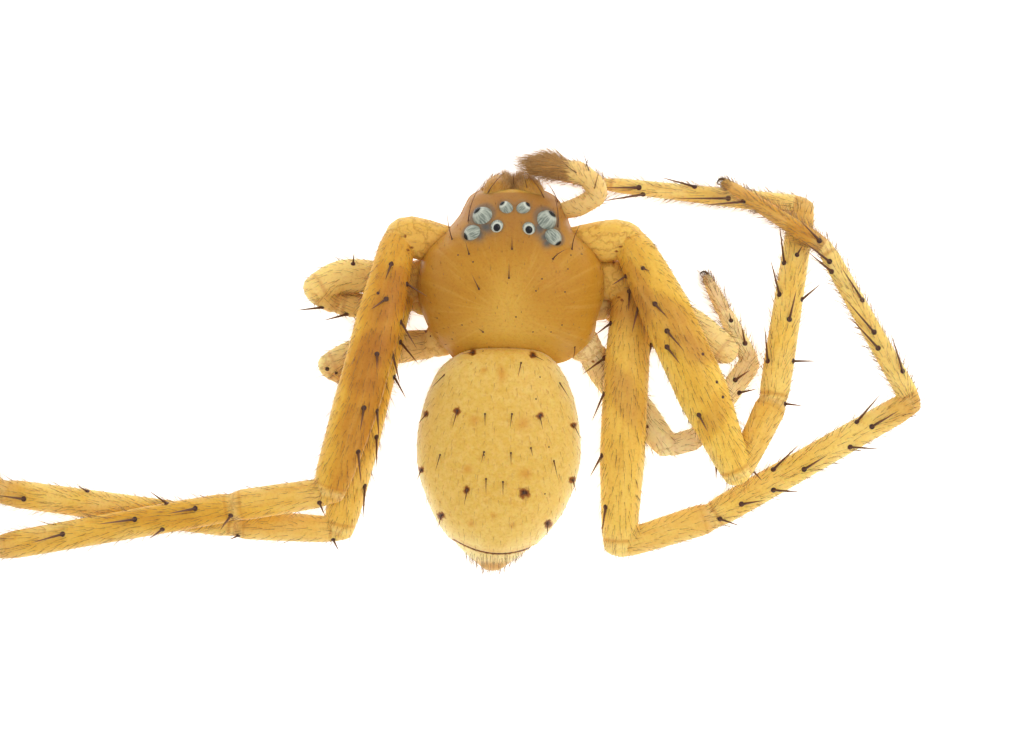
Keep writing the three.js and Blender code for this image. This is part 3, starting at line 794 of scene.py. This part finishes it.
for slot, (stops, density, strength, pale, brown) in CUTICLES.items():
    look = Look(slot + "_cuticle")
    # The colour runs darker with thickness: painted transmitted light and shade, pale where thin and darker where
    # thick or stacked.
    thick = look.scaled(look.value("thick"), 0.0, THICKEST)
    cloud = look.scaled(look.noise(1100.0), 0.3, 0.7, -0.05, 0.05)
    look.colour = look.ramp(look.math("ADD", thick, cloud), [(place, tint(*rgb)) for place, *rgb in stops])
    if density:
        streak = look.noise(density / 3, 4.0, "fibre")
        look.stain(look.scaled(streak, 0.42, 0.72, 0.0, strength), 214, 150, 60, "MULTIPLY")
        look.stain(look.scaled(streak, 0.45, 0.25, 0.0, strength * 0.8), 250, 214, 130)
    look.stain("pale", *pale)
    look.stain("brown", *brown)
    # light: painted glow, a lighter, paler colour where light would shine through thin or backlit parts.
    look.stain("light", 255, 240, 190)
    if slot == "leg":
        # Creases: fine wrinkle lines at the joints, darkened as painted shade in the wrinkles, and bumped below.
        crease = look.ramp(look.noise(2600.0, 5.0), [(0.46, (0, 0, 0)), (0.5, (1, 1, 1)), (0.54, (0, 0, 0))])
        crease = look.math("MULTIPLY", crease, look.value("folds"))
        look.stain(look.scaled(crease, 0.0, 1.0, 0.0, 0.55), 176, 118, 44)
    if slot == "abdomen":
        place = look.add("ShaderNodeTexCoord").outputs["Object"]
        net = look.add("ShaderNodeTexVoronoi", {"Vector": place, "Scale": 6500.0}, feature="DISTANCE_TO_EDGE")
        look.stain(look.scaled(net.outputs["Distance"], 0.0, 0.12, 0.16, 0.0), 214, 160, 70)
        look.stain(look.scaled(look.noise(7000.0), 0.4, 0.7, 0.0, 0.3), 246, 216, 136)
    look.stain(look.scaled(look.value("orange"), 0.0, 1.0, 0.0, 0.7), 206, 136, 40)
    look.stain("grey", 92, 92, 88)
    ragged = look.scaled(look.noise(9000.0, 2.0), 0.35, 0.65, -0.18, 0.18)
    mark = look.math("ADD", look.value("mark"), ragged)
    look.stain(look.scaled(mark, 0.28, 0.6), 158, 96, 36)
    look.stain(look.scaled(mark, 0.62, 0.95, 0.0, 0.9), 62, 30, 16)
    look.stain(look.scaled(look.noise(16000.0, 2.0), 0.5, 0.78, 0.0, 0.3), 200, 140, 60, "MULTIPLY")
    look.link(look.scaled(look.noise(6000.0), 0.3, 0.7, 0.36, 0.52), "Roughness")
    relief = look.bump(look.noise(14000.0), 0.000006, 0.5)
    if density:
        relief = look.bump(look.noise(density / 2, 3.0, "fibre"), 0.000012, 0.35, relief)
    if slot == "leg":
        relief = look.bump(crease, 0.00002, 0.6, relief)
    look.link(relief, "Normal")
    look.set(Subsurface_Weight=0.4, Subsurface_Radius=(1.0, 0.45, 0.15), Subsurface_Scale=0.0002,
             Specular_IOR_Level=0.22)
    LOOKS[slot] = look.material

by_kind = {part.kind: part for part in parts}
skin_points, skin_quads = joined([(part.points, part.quads) for part in parts])
skin_tree = BVHTree.FromPolygons(skin_points.tolist(), skin_quads.tolist())
owner = np.repeat(np.arange(len(parts)), [len(part.quads) for part in parts])
first_point = np.cumsum([0, *(len(part.points) for part in parts)])

for name, (slot, kinds, nodes) in GROUPS.items():
    group = [by_kind[kind] for kind in kinds]
    painted = [paint(part) for part in group]
    values = {key: np.concatenate([fill[key] for fill in painted]) for key in painted[0]}
    piece(name + "_skin", LOOKS[slot], slot, *joined([(part.points, part.quads) for part in group]),
          values=values, nodes=nodes)

# Eyes: pale grey domes with fine rays from a black lens
look = Look("eye_dome", 112, 120, 110)
look.stain(look.scaled(look.noise(2.6, 3.0, "fan"), 0.38, 0.62), 176, 182, 166)
look.stain("rim", 212, 214, 198)
look.stain("foot", 112, 112, 100)
look.stain("lens", 14, 14, 16)
look.link(look.bump(look.noise(3.0, 2.0, "fan"), 0.000006, 0.4), "Normal")
look.link(look.scaled(look.value("lens"), 0.0, 1.0, 0.34, 0.16), "Roughness")
look.set(Specular_IOR_Level=0.3)
EYE_RINGS, EYE_SIDES, EYE_RAISE = 44, 56, 0.07
for node, (place, half, way, rise, angle) in EYES.items():
    tilt = np.linspace(0.02, math.pi - 0.02, EYE_RINGS)
    turn = turns(EYE_SIDES)
    level = unit((*way, 0))
    across = np.cross((0, 0, 1), level)
    rise = math.radians(rise)
    forward = level * math.cos(rise) + np.array((0, 0, 1)) * math.sin(rise)
    over = np.cross(forward, across)
    around = np.cos(turn)[None, :, None] * across + np.sin(turn)[None, :, None] * over
    ball = np.cos(tilt)[:, None, None] * forward + np.sin(tilt)[:, None, None] * around
    degrees = np.degrees(tilt)
    bulge = 1 + 0.05 * band(degrees, angle + 8, angle * 0.4)
    ball = (ball * bulge[:, None, None]).reshape(-1, 3)
    fan = np.stack(np.broadcast_arrays(np.cos(turn) * 2.2, np.sin(turn) * 2.2, tilt[:, None] * 0.5), -1)
    body = (ball @ level)[:, None] * level * half[0] + (ball @ across)[:, None] * across * half[1]
    body[:, 2] = ball[:, 2] * half[2]
    quads, _ = ring_faces(EYE_RINGS, EYE_SIDES)
    values = {
        "lens": np.repeat(band(degrees, angle + 3, angle - 2), EYE_SIDES),
        "rim": np.repeat(bell(degrees - angle - 12, 9) * (0.9 if "middle" in node else 0.5), EYE_SIDES),
        "foot": band(ball[:, 2], 0.35, 0.1),
        "fan": fan.reshape(-1, 3),
    }
    piece(node + "_dome", look.material, "eye", body + np.add(place, (0, 0, EYE_RAISE)), facing_out(body, quads),
          values=values, nodes=[node])

# Hairs and bristles: thin bent cones, rooted on the skin
BAKE_PATCH = 0.003


def cones(roots, ways, lengths, radii, droop, unwrap, sides=3, rings=3, **values):
    """Points, quads, triangles, bake map and values for many tapered hairs that end at way plus droop."""
    n = len(roots)
    ways = unit(ways)
    aside = unit(np.cross(ways, (0.13, 0.29, 0.95)))
    other = np.cross(ways, aside)
    turn = turns(sides)[None, :, None]
    ring = aside[:, None] * np.cos(turn) + other[:, None] * np.sin(turn)
    t = np.arange(rings) / rings
    stem = (roots[:, None] + ways[:, None] * (lengths[:, None] * t)[..., None]
            + droop[:, None] * (t**2)[None, :, None])
    stem[:, 0] -= ways * (radii * 2)[:, None]
    girth = radii[:, None] * (1 - t)[None] ** 0.7
    body = (stem[:, :, None] + ring[:, None] * girth[:, :, None, None]).reshape(n, -1, 3)
    tip = roots + ways * lengths[:, None] + droop
    points = np.concatenate([body, tip[:, None]], axis=1)
    points[..., 2] = np.maximum(points[..., 2], 0.002)
    count = rings * sides + 1
    start = (np.arange(n) * count)[:, None]
    quads = (start[:, None] + ring_faces(rings, sides)[0]).reshape(-1, 4)
    k, last = np.arange(sides), (rings - 1) * sides
    tris = (start[:, None] + np.stack([last + k, last + (k + 1) % sides, np.full(sides, count - 1)], 1)[None])
    patch = np.array([(j / sides, r / rings) for r in range(rings) for j in range(sides)] + [(0.5, 1.0)])
    uv = (np.clip(unwrap, 0, 1 - BAKE_PATCH)[:, None] + patch[None] * BAKE_PATCH).reshape(-1, 2)
    values = {key: np.repeat(value, count) for key, value in values.items()}
    values["tip"] = np.tile(np.append(np.repeat(t, sides), 1.0), n)
    return points.reshape(-1, 3), quads, tris.reshape(-1, 3), uv, values


def coat(name, slot, groups, material):
    """A piece made of sets of hairs, with its bake map."""
    values = {key: np.concatenate([group[4][key] for group in groups]) for key in groups[0][4]}
    obj = piece(name, material, slot, *joined([group[:3] for group in groups]), values)
    layer = obj.data.uv_layers.new(name="OFBake")
    loops = np.zeros(len(obj.data.loops), np.int32)
    obj.data.loops.foreach_get("vertex_index", loops)
    layer.data.foreach_set("uv", np.vstack([group[3] for group in groups])[loops].astype(np.float32).ravel())


def spread(points, spacing):
    """Indices of points picked at random, one in each cell of that spacing."""
    order = rng.permutation(len(points))
    cell = np.floor(points[order] / spacing).astype(int)
    _, first = np.unique(cell, axis=0, return_index=True)
    return order[np.sort(first)]


def unwrap(part, chosen):
    """Where a part's points lie on an unwrap of its own shape."""
    if "unwrap" in part.values:
        return part.values["unwrap"][chosen]
    p = part.points[chosen]
    low, high = part.points.min(axis=0), part.points.max(axis=0)
    middle = (low + high) / 2
    around = np.arctan2(p[:, 2] - middle[2], p[:, 0] - middle[0]) / (2 * np.pi) + 0.5
    return np.stack([(p[:, 1] - low[1]) / (high[1] - low[1]), around], axis=1)


def fur(part, where, spacing, length, radius, lift, aim, pale, wild=0.1):
    """Hairs over the part's chosen points that lie along aim and rise by lift, in radians."""
    kept = np.flatnonzero(where)
    if not len(kept):
        return []
    chosen = kept[spread(part.points[kept], spacing)]
    p, out = part.points[chosen], part.normals[chosen]
    aim = aim[chosen] if np.ndim(aim) == 2 else np.broadcast_to(np.array(aim, float), p.shape)
    n = len(chosen)
    lie = unit(aim - out * np.einsum("ij,ij->i", aim, out)[:, None])
    rise = (lift + rng.normal(0, 0.12, n))[:, None]
    way = lie * np.cos(rise) + out * np.sin(rise) + rng.normal(0, wild, (n, 3))
    long = length * rng.uniform(0.65, 1.3, n)
    thick = radius * rng.uniform(0.8, 1.2, n)
    light = np.clip(pale * rng.uniform(0.6, 1.4, n), 0, 1)
    return [cones(p, way, long, thick, lie * (long * 0.14)[:, None], unwrap(part, chosen), pale=light)]


# Leg hairs: segment, spacing, length, radius in mm, rise in radians, paleness
LEG_FUR = [
    (COXA, 0.45, 0.16, 0.0055, 0.5, 0.4), (FEMUR, 0.19, 0.27, 0.0054, 0.58, 0.18),
    (PATELLA, 0.19, 0.27, 0.0054, 0.6, 0.2), (TIBIA, 0.17, 0.34, 0.0054, 0.64, 0.2),
    (METATARSUS, 0.15, 0.42, 0.006, 0.68, 0.35), (TARSUS, 0.115, 0.36, 0.006, 0.74, 0.35),
]
# Body hairs: part, spacing, length, radius, rise, way they point, paleness, and which points carry them
BODY_FUR = [
    ("abdomen", 0.3, 0.17, 0.005, 0.4, (0, -1, -0.1), 0.75, lambda p: (p[:, 2] > 0.2) & (p[:, 1] < 2.3)),
    ("abdomen", 0.14, 0.27, 0.006, 0.75, (0, -1, -0.2), 0.4, lambda p: (p[:, 1] < -2.55)),
    ("carapace", 0.5, 0.08, 0.006, 0.6, (0, 1, 0), 0.1, lambda p: (p[:, 2] > 1.7) & (p[:, 1] < 6.2)),
    ("right_palp", 0.055, 0.42, 0.0065, 0.4, (-1, 0.15, 0), 0.9, lambda p: (p[:, 0] < 1.75) & (p[:, 1] > 6.6)),
    ("right_palp", 0.15, 0.22, 0.006, 0.6, (-0.5, 0.8, 0), 0.4, lambda p: (p[:, 0] > 1.75) | (p[:, 1] < 6.6)),
    ("left_palp", 0.09, 0.2, 0.006, 0.5, (0.6, 0.8, 0), 0.3, lambda p: p[:, 0] < 9),
    ("right_chelicera", 0.11, 0.2, 0.005, 0.4, (-0.3, 0.6, -0.6), 0.8, lambda p: p[:, 1] > 6.45),
    ("left_chelicera", 0.11, 0.2, 0.005, 0.4, (0.3, 0.6, -0.6), 0.8, lambda p: p[:, 1] > 6.45),
    ("right_chelicera", 0.04, 0.2, 0.004, 0.8, (-0.1, 0.8, -0.3), 0.95,
     lambda p: (p[:, 0] < 0.62) & (p[:, 1] > 6.4)),
    ("left_chelicera", 0.04, 0.2, 0.004, 0.8, (0.1, 0.8, -0.3), 0.95,
     lambda p: (p[:, 0] > 0.05) & (p[:, 1] > 6.4)),
]


def on_skin(px, py):
    """The highest skin at the photograph's pixel, or the nearest: place, normal, part and point there."""
    x, y, _ = photo_point(px, py, HIGH)
    hit, normal, face, _ = skin_tree.ray_cast((x, y, 50.0), (0, 0, -1))
    if hit is None:
        hit, normal, face, _ = skin_tree.find_nearest((x, y, HIGH / 2))
    number = owner[face]
    return np.array(hit), np.array(normal), parts[number], skin_quads[face][0] - first_point[number]


# Spines in the photograph's pixels: root x, y and tip x, y. Those with x under 0 are past its edge, and guessed.
LEG_SPINES = [
    (643, 268, 650, 271), (655, 304, 669, 319), (667, 331, 685, 352), (667, 347, 681, 365), (699, 415, 708, 432),
    (626, 276, 612, 285), (630, 291, 629, 311), (638, 309, 632, 333), (652, 345, 646, 375), (678, 401, 678, 429),
    (682, 411, 686, 438), (708, 455, 708, 483), (611, 323, 594, 336), (605, 358, 582, 375), (604, 394, 592, 422),
    (602, 456, 590, 478), (606, 508, 602, 537), (769, 361, 766, 326), (781, 294, 772, 258), (786, 262, 781, 222),
    (791, 319, 798, 290), (799, 254, 805, 244), (795, 361, 820, 361), (804, 299, 823, 283), (790, 404, 808, 406),
    (757, 475, 768, 487), (775, 470, 803, 443), (806, 470, 830, 455), (743, 505, 767, 501), (778, 498, 806, 500),
    (859, 422, 883, 394), (874, 427, 901, 411), (855, 453, 886, 455), (722, 530, 742, 537), (905, 371, 893, 333),
    (876, 332, 845, 296), (880, 348, 850, 315), (867, 298, 845, 264), (831, 261, 800, 237), (833, 271, 808, 250),
    (821, 240, 800, 218), (740, 207, 696, 211), (730, 197, 675, 197), (696, 185, 660, 175), (640, 186, 603, 186),
    (644, 193, 600, 200), (747, 343, 743, 323), (737, 380, 752, 370), (741, 393, 759, 389), (733, 320, 731, 312),
    (391, 264, 385, 280), (386, 299, 370, 310), (377, 354, 377, 370), (364, 408, 360, 432), (407, 284, 428, 297),
    (401, 322, 417, 349), (393, 356, 400, 384), (377, 411, 379, 438), (358, 452, 361, 485), (380, 439, 380, 470),
    (364, 487, 362, 520), (400, 342, 419, 365), (398, 378, 410, 400), (320, 307, 294, 310), (345, 314, 322, 320),
    (352, 263, 353, 252), (326, 369, 327, 371), (230, 516, 219, 531), (194, 509, 167, 514), (133, 520, 95, 525),
    (165, 504, 147, 491), (161, 530, 147, 540), (84, 492, 73, 486), (236, 537, 227, 541), (319, 503, 325, 517),
    (332, 541, 338, 553), (60, 535, 28, 544), (20, 500, -8, 496), (-40, 545, -74, 552), (-90, 510, -122, 503),
    (-170, 560, -206, 566), (-230, 500, -262, 488),
]
# Bare spine roots seen end on, and scattered pits
LEG_DOTS = [(695, 302), (703, 354), (717, 382), (723, 397), (648, 427), (335, 373), (378, 293)]
PITS = [
    (458, 255), (462, 325), (452, 339), (425, 331), (430, 336), (437, 318), (536, 291), (565, 292), (516, 317),
    (533, 332), (551, 332), (562, 325), (571, 255), (582, 254), (568, 269), (483, 351), (489, 347), (536, 399),
    (540, 377), (484, 455), (549, 447), (545, 494), (602, 333), (604, 340), (473, 262), (542, 279),
]
# Bristles of the abdomen and carapace, with the last number a sideways bow in pixels.
BODY_BRISTLES = [
    (444, 375, 431, 388, 0), (521, 363, 518, 377, 0), (560, 383, 570, 399, 0), (485, 414, 485, 427, 0),
    (512, 414, 510, 429, 0), (440, 455, 435, 472, 0), (484, 452, 481, 463, 0), (511, 453, 511, 466, 0),
    (531, 448, 533, 457, 0), (554, 461, 558, 479, 0), (486, 479, 486, 495, 0), (503, 482, 503, 497, 0),
    (452, 239, 447, 211, 2), (469, 254, 465, 240, 0), (512, 249, 512, 235, 0), (509, 278, 509, 262, 0),
    (479, 289, 471, 273, 0), (483, 332, 478, 328, 0), (553, 259, 568, 249, 3), (572, 249, 582, 222, 4),
    (575, 347, 572, 361, 2),
]
HEAD_BRISTLES = [
    (468, 221, 488, 177, 9), (488, 192, 511, 167, 4), (514, 186, 513, 168, 0), (527, 187, 523, 172, 0),
    (544, 197, 520, 168, -5), (558, 227, 547, 180, -8), (558, 202, 541, 178, -6), (589, 170, 581, 144, 0),
    (576, 172, 560, 158, 2), (595, 187, 599, 170, 0), (586, 166, 590, 152, 0),
]


def bristles(rows, radius, rise):
    """Adds tapered spines between pixels of the photograph, leaning off the skin, to their parts' coats."""
    found = {}
    for ax, ay, bx, by, *bow in rows:
        root, _, part, point = on_skin(ax, ay)
        span = math.hypot(bx - ax, by - ay) * PIXEL
        tip = photo_point(bx, by, root[2] + max(span * rise, 0.1))
        way = tip - photo_point(ax, ay, root[2])
        bend = np.array([0.0, 0.0, -0.12 * span])
        if any(bow):
            bend[:2] += np.array([-way[1], way[0]]) / math.hypot(way[0], way[1]) * -bow[0] * PIXEL * 2
        found.setdefault(part.kind, []).append(
            (root, way - bend, radius * min(1.0, 0.55 + span), bend, unwrap(part, np.array([point]))[0]))
    for kind, items in found.items():
        roots, ways, radii, bends, places = map(np.array, zip(*items))
        coats[kind].append(cones(roots, ways, np.linalg.norm(ways, axis=1), radii, bends, places, 6, 6,
                                 pale=np.zeros(len(roots))))


coats = {part.kind: [] for part in parts}
for leg in LEGS:
    part = by_kind[leg]
    segment, axis = part.values["segment"], part.values["axis"]
    for number, *settings, pale in LEG_FUR:
        coats[leg] += fur(part, segment == number, *settings, axis, pale)
    under = (segment >= METATARSUS) & (part.normals[:, 2] < 0.3)
    coats[leg] += fur(part, under, 0.09, 0.17, 0.0045, 0.9, axis, 0.8)
    at_tip = (segment == TARSUS) & (part.values["end"] < 0.22)
    coats[leg] += fur(part, at_tip, 0.045, 0.17, 0.005, 0.75, axis, 0.25, 0.2)
for kind, *settings, where in BODY_FUR:
    coats[kind] += fur(by_kind[kind], where(by_kind[kind].points), *settings)
bristles(LEG_SPINES, 0.034, 0.45)
bristles(BODY_BRISTLES, 0.016, 0.4)
bristles(HEAD_BRISTLES, 0.013, 0.35)
bristles([row[:4] for row in BROWN_SPOTS], 0.018, 0.4)

look = Look("hair", 62, 32, 14)
look.stain("tip", 140, 88, 40)
look.stain("pale", 216, 168, 96)
look.stain(look.scaled(look.noise(4000.0), 0.3, 0.7, 0.0, 0.35), 110, 66, 30)
look.link(look.scaled(look.noise(9000.0), 0.3, 0.7, 0.36, 0.5), "Roughness")
for name, (slot, kinds, _) in GROUPS.items():
    coat(name + "_hairs", slot, [hairs for kind in kinds for hairs in coats[kind]], look.material)

# Dark domed rings where the spines are rooted, and pits: each ring's radius and height over the whole radius
STUD_RINGS = ((1.0, -0.3), (0.9, 0.1), (0.62, 0.28), (0.38, 0.16), (0.1, 0.1))
STUD_SIDES = 14


def studs(name, places, slot, material):
    """Small domed rings on the skin at pixels of the photograph, with a radius in mm each."""
    stud = Shape()
    turn = turns(STUD_SIDES)[:, None]
    for px, py, radius in places:
        root, normal, _, _ = on_skin(px, py)
        across = unit(np.cross(normal, (0.3, 0.2, 0.9)))
        circle = np.cos(turn) * across + np.sin(turn) * np.cross(normal, across)
        rings = [root + circle * radius * wide + normal * radius * high for wide, high in STUD_RINGS]
        stud.add(np.vstack(rings), ring_faces(len(rings), STUD_SIDES)[0])
    piece(name, material, slot, *stud.shell())


look = Look("spine_root", 40, 22, 14)
look.stain(look.scaled(look.noise(9000.0), 0.3, 0.7), 92, 50, 24)
look.link(look.scaled(look.noise(12000.0), 0.3, 0.7, 0.3, 0.5), "Roughness")
studs("spine_roots", [(ax, ay, 0.055 + 0.02 * min(1.0, math.hypot(bx - ax, by - ay) / 25))
                      for ax, ay, bx, by in LEG_SPINES] + [(x, y, 0.045) for x, y in LEG_DOTS], "leg", look.material)
studs("pits", [(x, y, 0.022) for x, y in PITS] + [(x, y, 0.03) for x, y, *_ in BODY_BRISTLES]
      + [(x, y, 0.034) for x, y, *_ in BROWN_SPOTS], "carapace", look.material)

# Two curled claws at the tip of each leg, which curl sideways where the tip's sole faces aside
CLAW_SIZE, CLAW_TURN, CLAW_GAP, CLAW_RINGS, CLAW_SIDES = 0.1, 2.6, 0.045, 16, 8
look = Look("claw", 96, 74, 52)
look.stain("tip", 28, 22, 20)
look.stain(look.scaled(look.noise(20000.0), 0.4, 0.6, 0.0, 0.3), 120, 96, 66)
look.set(Roughness=0.25)
t = np.linspace(0, 1, CLAW_RINGS)
turn = (t * CLAW_TURN)[:, None]
cap = len(CAP_ANGLES)
tip_values = np.tile(np.repeat(np.concatenate([[0] * cap, t, [1] * cap]), CLAW_SIDES), 2)
for leg, (points, widths) in LEGS.items():
    forward = unit(np.subtract(points[8], points[7]))
    sideways, upward = unit(np.cross(forward, (0, 0, 1))), np.array((0.0, 0.0, 1.0))
    flat = leg in ("right_leg_2", "right_leg_4")
    bend, apart = (-sideways, upward) if flat else (-upward, sideways)
    claw = Shape()
    for way in (-1, 1):
        arc = (forward * np.sin(turn) + bend * (1 - np.cos(turn))) * CLAW_SIZE
        path = np.array(points[8]) + forward * widths[7] * 0.12 + apart * way * CLAW_GAP + arc - bend * CLAW_SIZE * 0.6
        path[:, 2] = np.maximum(path[:, 2], 0.03)
        tube(claw, path, unit(np.gradient(path, axis=0)), 0.03 * (1 - t) ** 0.6 + 0.003, 1.0, (0.02, 0.002),
             CLAW_SIDES, apart)
    piece(leg + "_claws", look.material, "leg", *claw.shell(), values={"tip": tip_values})

# Two fangs, folded in under the jaws
look = Look("fang", 70, 34, 16)
look.stain(look.scaled(look.noise(8000.0), 0.35, 0.65), 120, 62, 28)
look.set(Roughness=0.22)
fangs = Shape()
for way, (_, (x, y, z), _, _) in zip((1, -1), CHELICERAE.values()):
    strand(fangs, [(x + way * 0.12, y, z + 0.08), (x + way * 0.05, y + 0.02, z - 0.06),
                   (x - way * 0.16, y - 0.06, z - 0.08)], [0.13, 0.1, 0.02], 1.0, 0.2, 12)
piece("fangs", look.material, "carapace", *fangs.shell())

# Floor, light and camera
FLOOR = 400.0
floor_points = np.array([(-1, -1, 0), (1, -1, 0), (1, 1, 0), (-1, 1, 0)]) * FLOOR / 2
floor_points[:, 2] = -0.01
floor = new_mesh("floor", floor_points, np.array([[0, 1, 2, 3]]))
look = Look("white_floor")
look.set(Base_Color=(0.86, 0.86, 0.86, 1), Roughness=0.9, Emission_Color=(1, 1, 1, 1), Emission_Strength=0.8)
floor.data.materials.append(look.material)

world = bpy.data.worlds.new("studio")
world.use_nodes = True
world.node_tree.nodes["Background"].inputs["Color"].default_value = (1, 1, 1, 1)
world.node_tree.nodes["Background"].inputs["Strength"].default_value = 0.85
bpy.context.scene.world = world


def softbox(name, place, aim, width, power):
    """A square area light in mm, facing its aim."""
    light = bpy.data.lights.new(name, "AREA")
    light.shape = "SQUARE"
    light.size = width * MM
    light.energy = power
    obj = bpy.data.objects.new(name, light)
    obj.location = np.array(place) * MM
    x, y, z = np.subtract(place, aim).astype(float)
    obj.rotation_euler = (math.atan2(math.hypot(x, y), z), 0, math.atan2(y, x) + math.pi / 2)
    bpy.context.scene.collection.objects.link(obj)


softbox("key", (60, 25, 90), (0, 1, 1), 60, 0.03)
softbox("fill", (-80, 50, 80), (0, 1, 1), 80, 0.006)

camera_data = bpy.data.cameras.new("camera")
camera_data.lens = LENS
camera_data.sensor_width = SENSOR
camera_data.clip_start = 0.01
camera_data.clip_end = 10.0
camera = bpy.data.objects.new("camera", camera_data)
camera.location = (VIEW_CENTRE[0] * MM, VIEW_CENTRE[1] * MM, (FOCUS_HEIGHT + DISTANCE) * MM)
bpy.context.scene.collection.objects.link(camera)
bpy.context.scene.camera = camera
bpy.context.scene.view_settings.view_transform = "Standard"
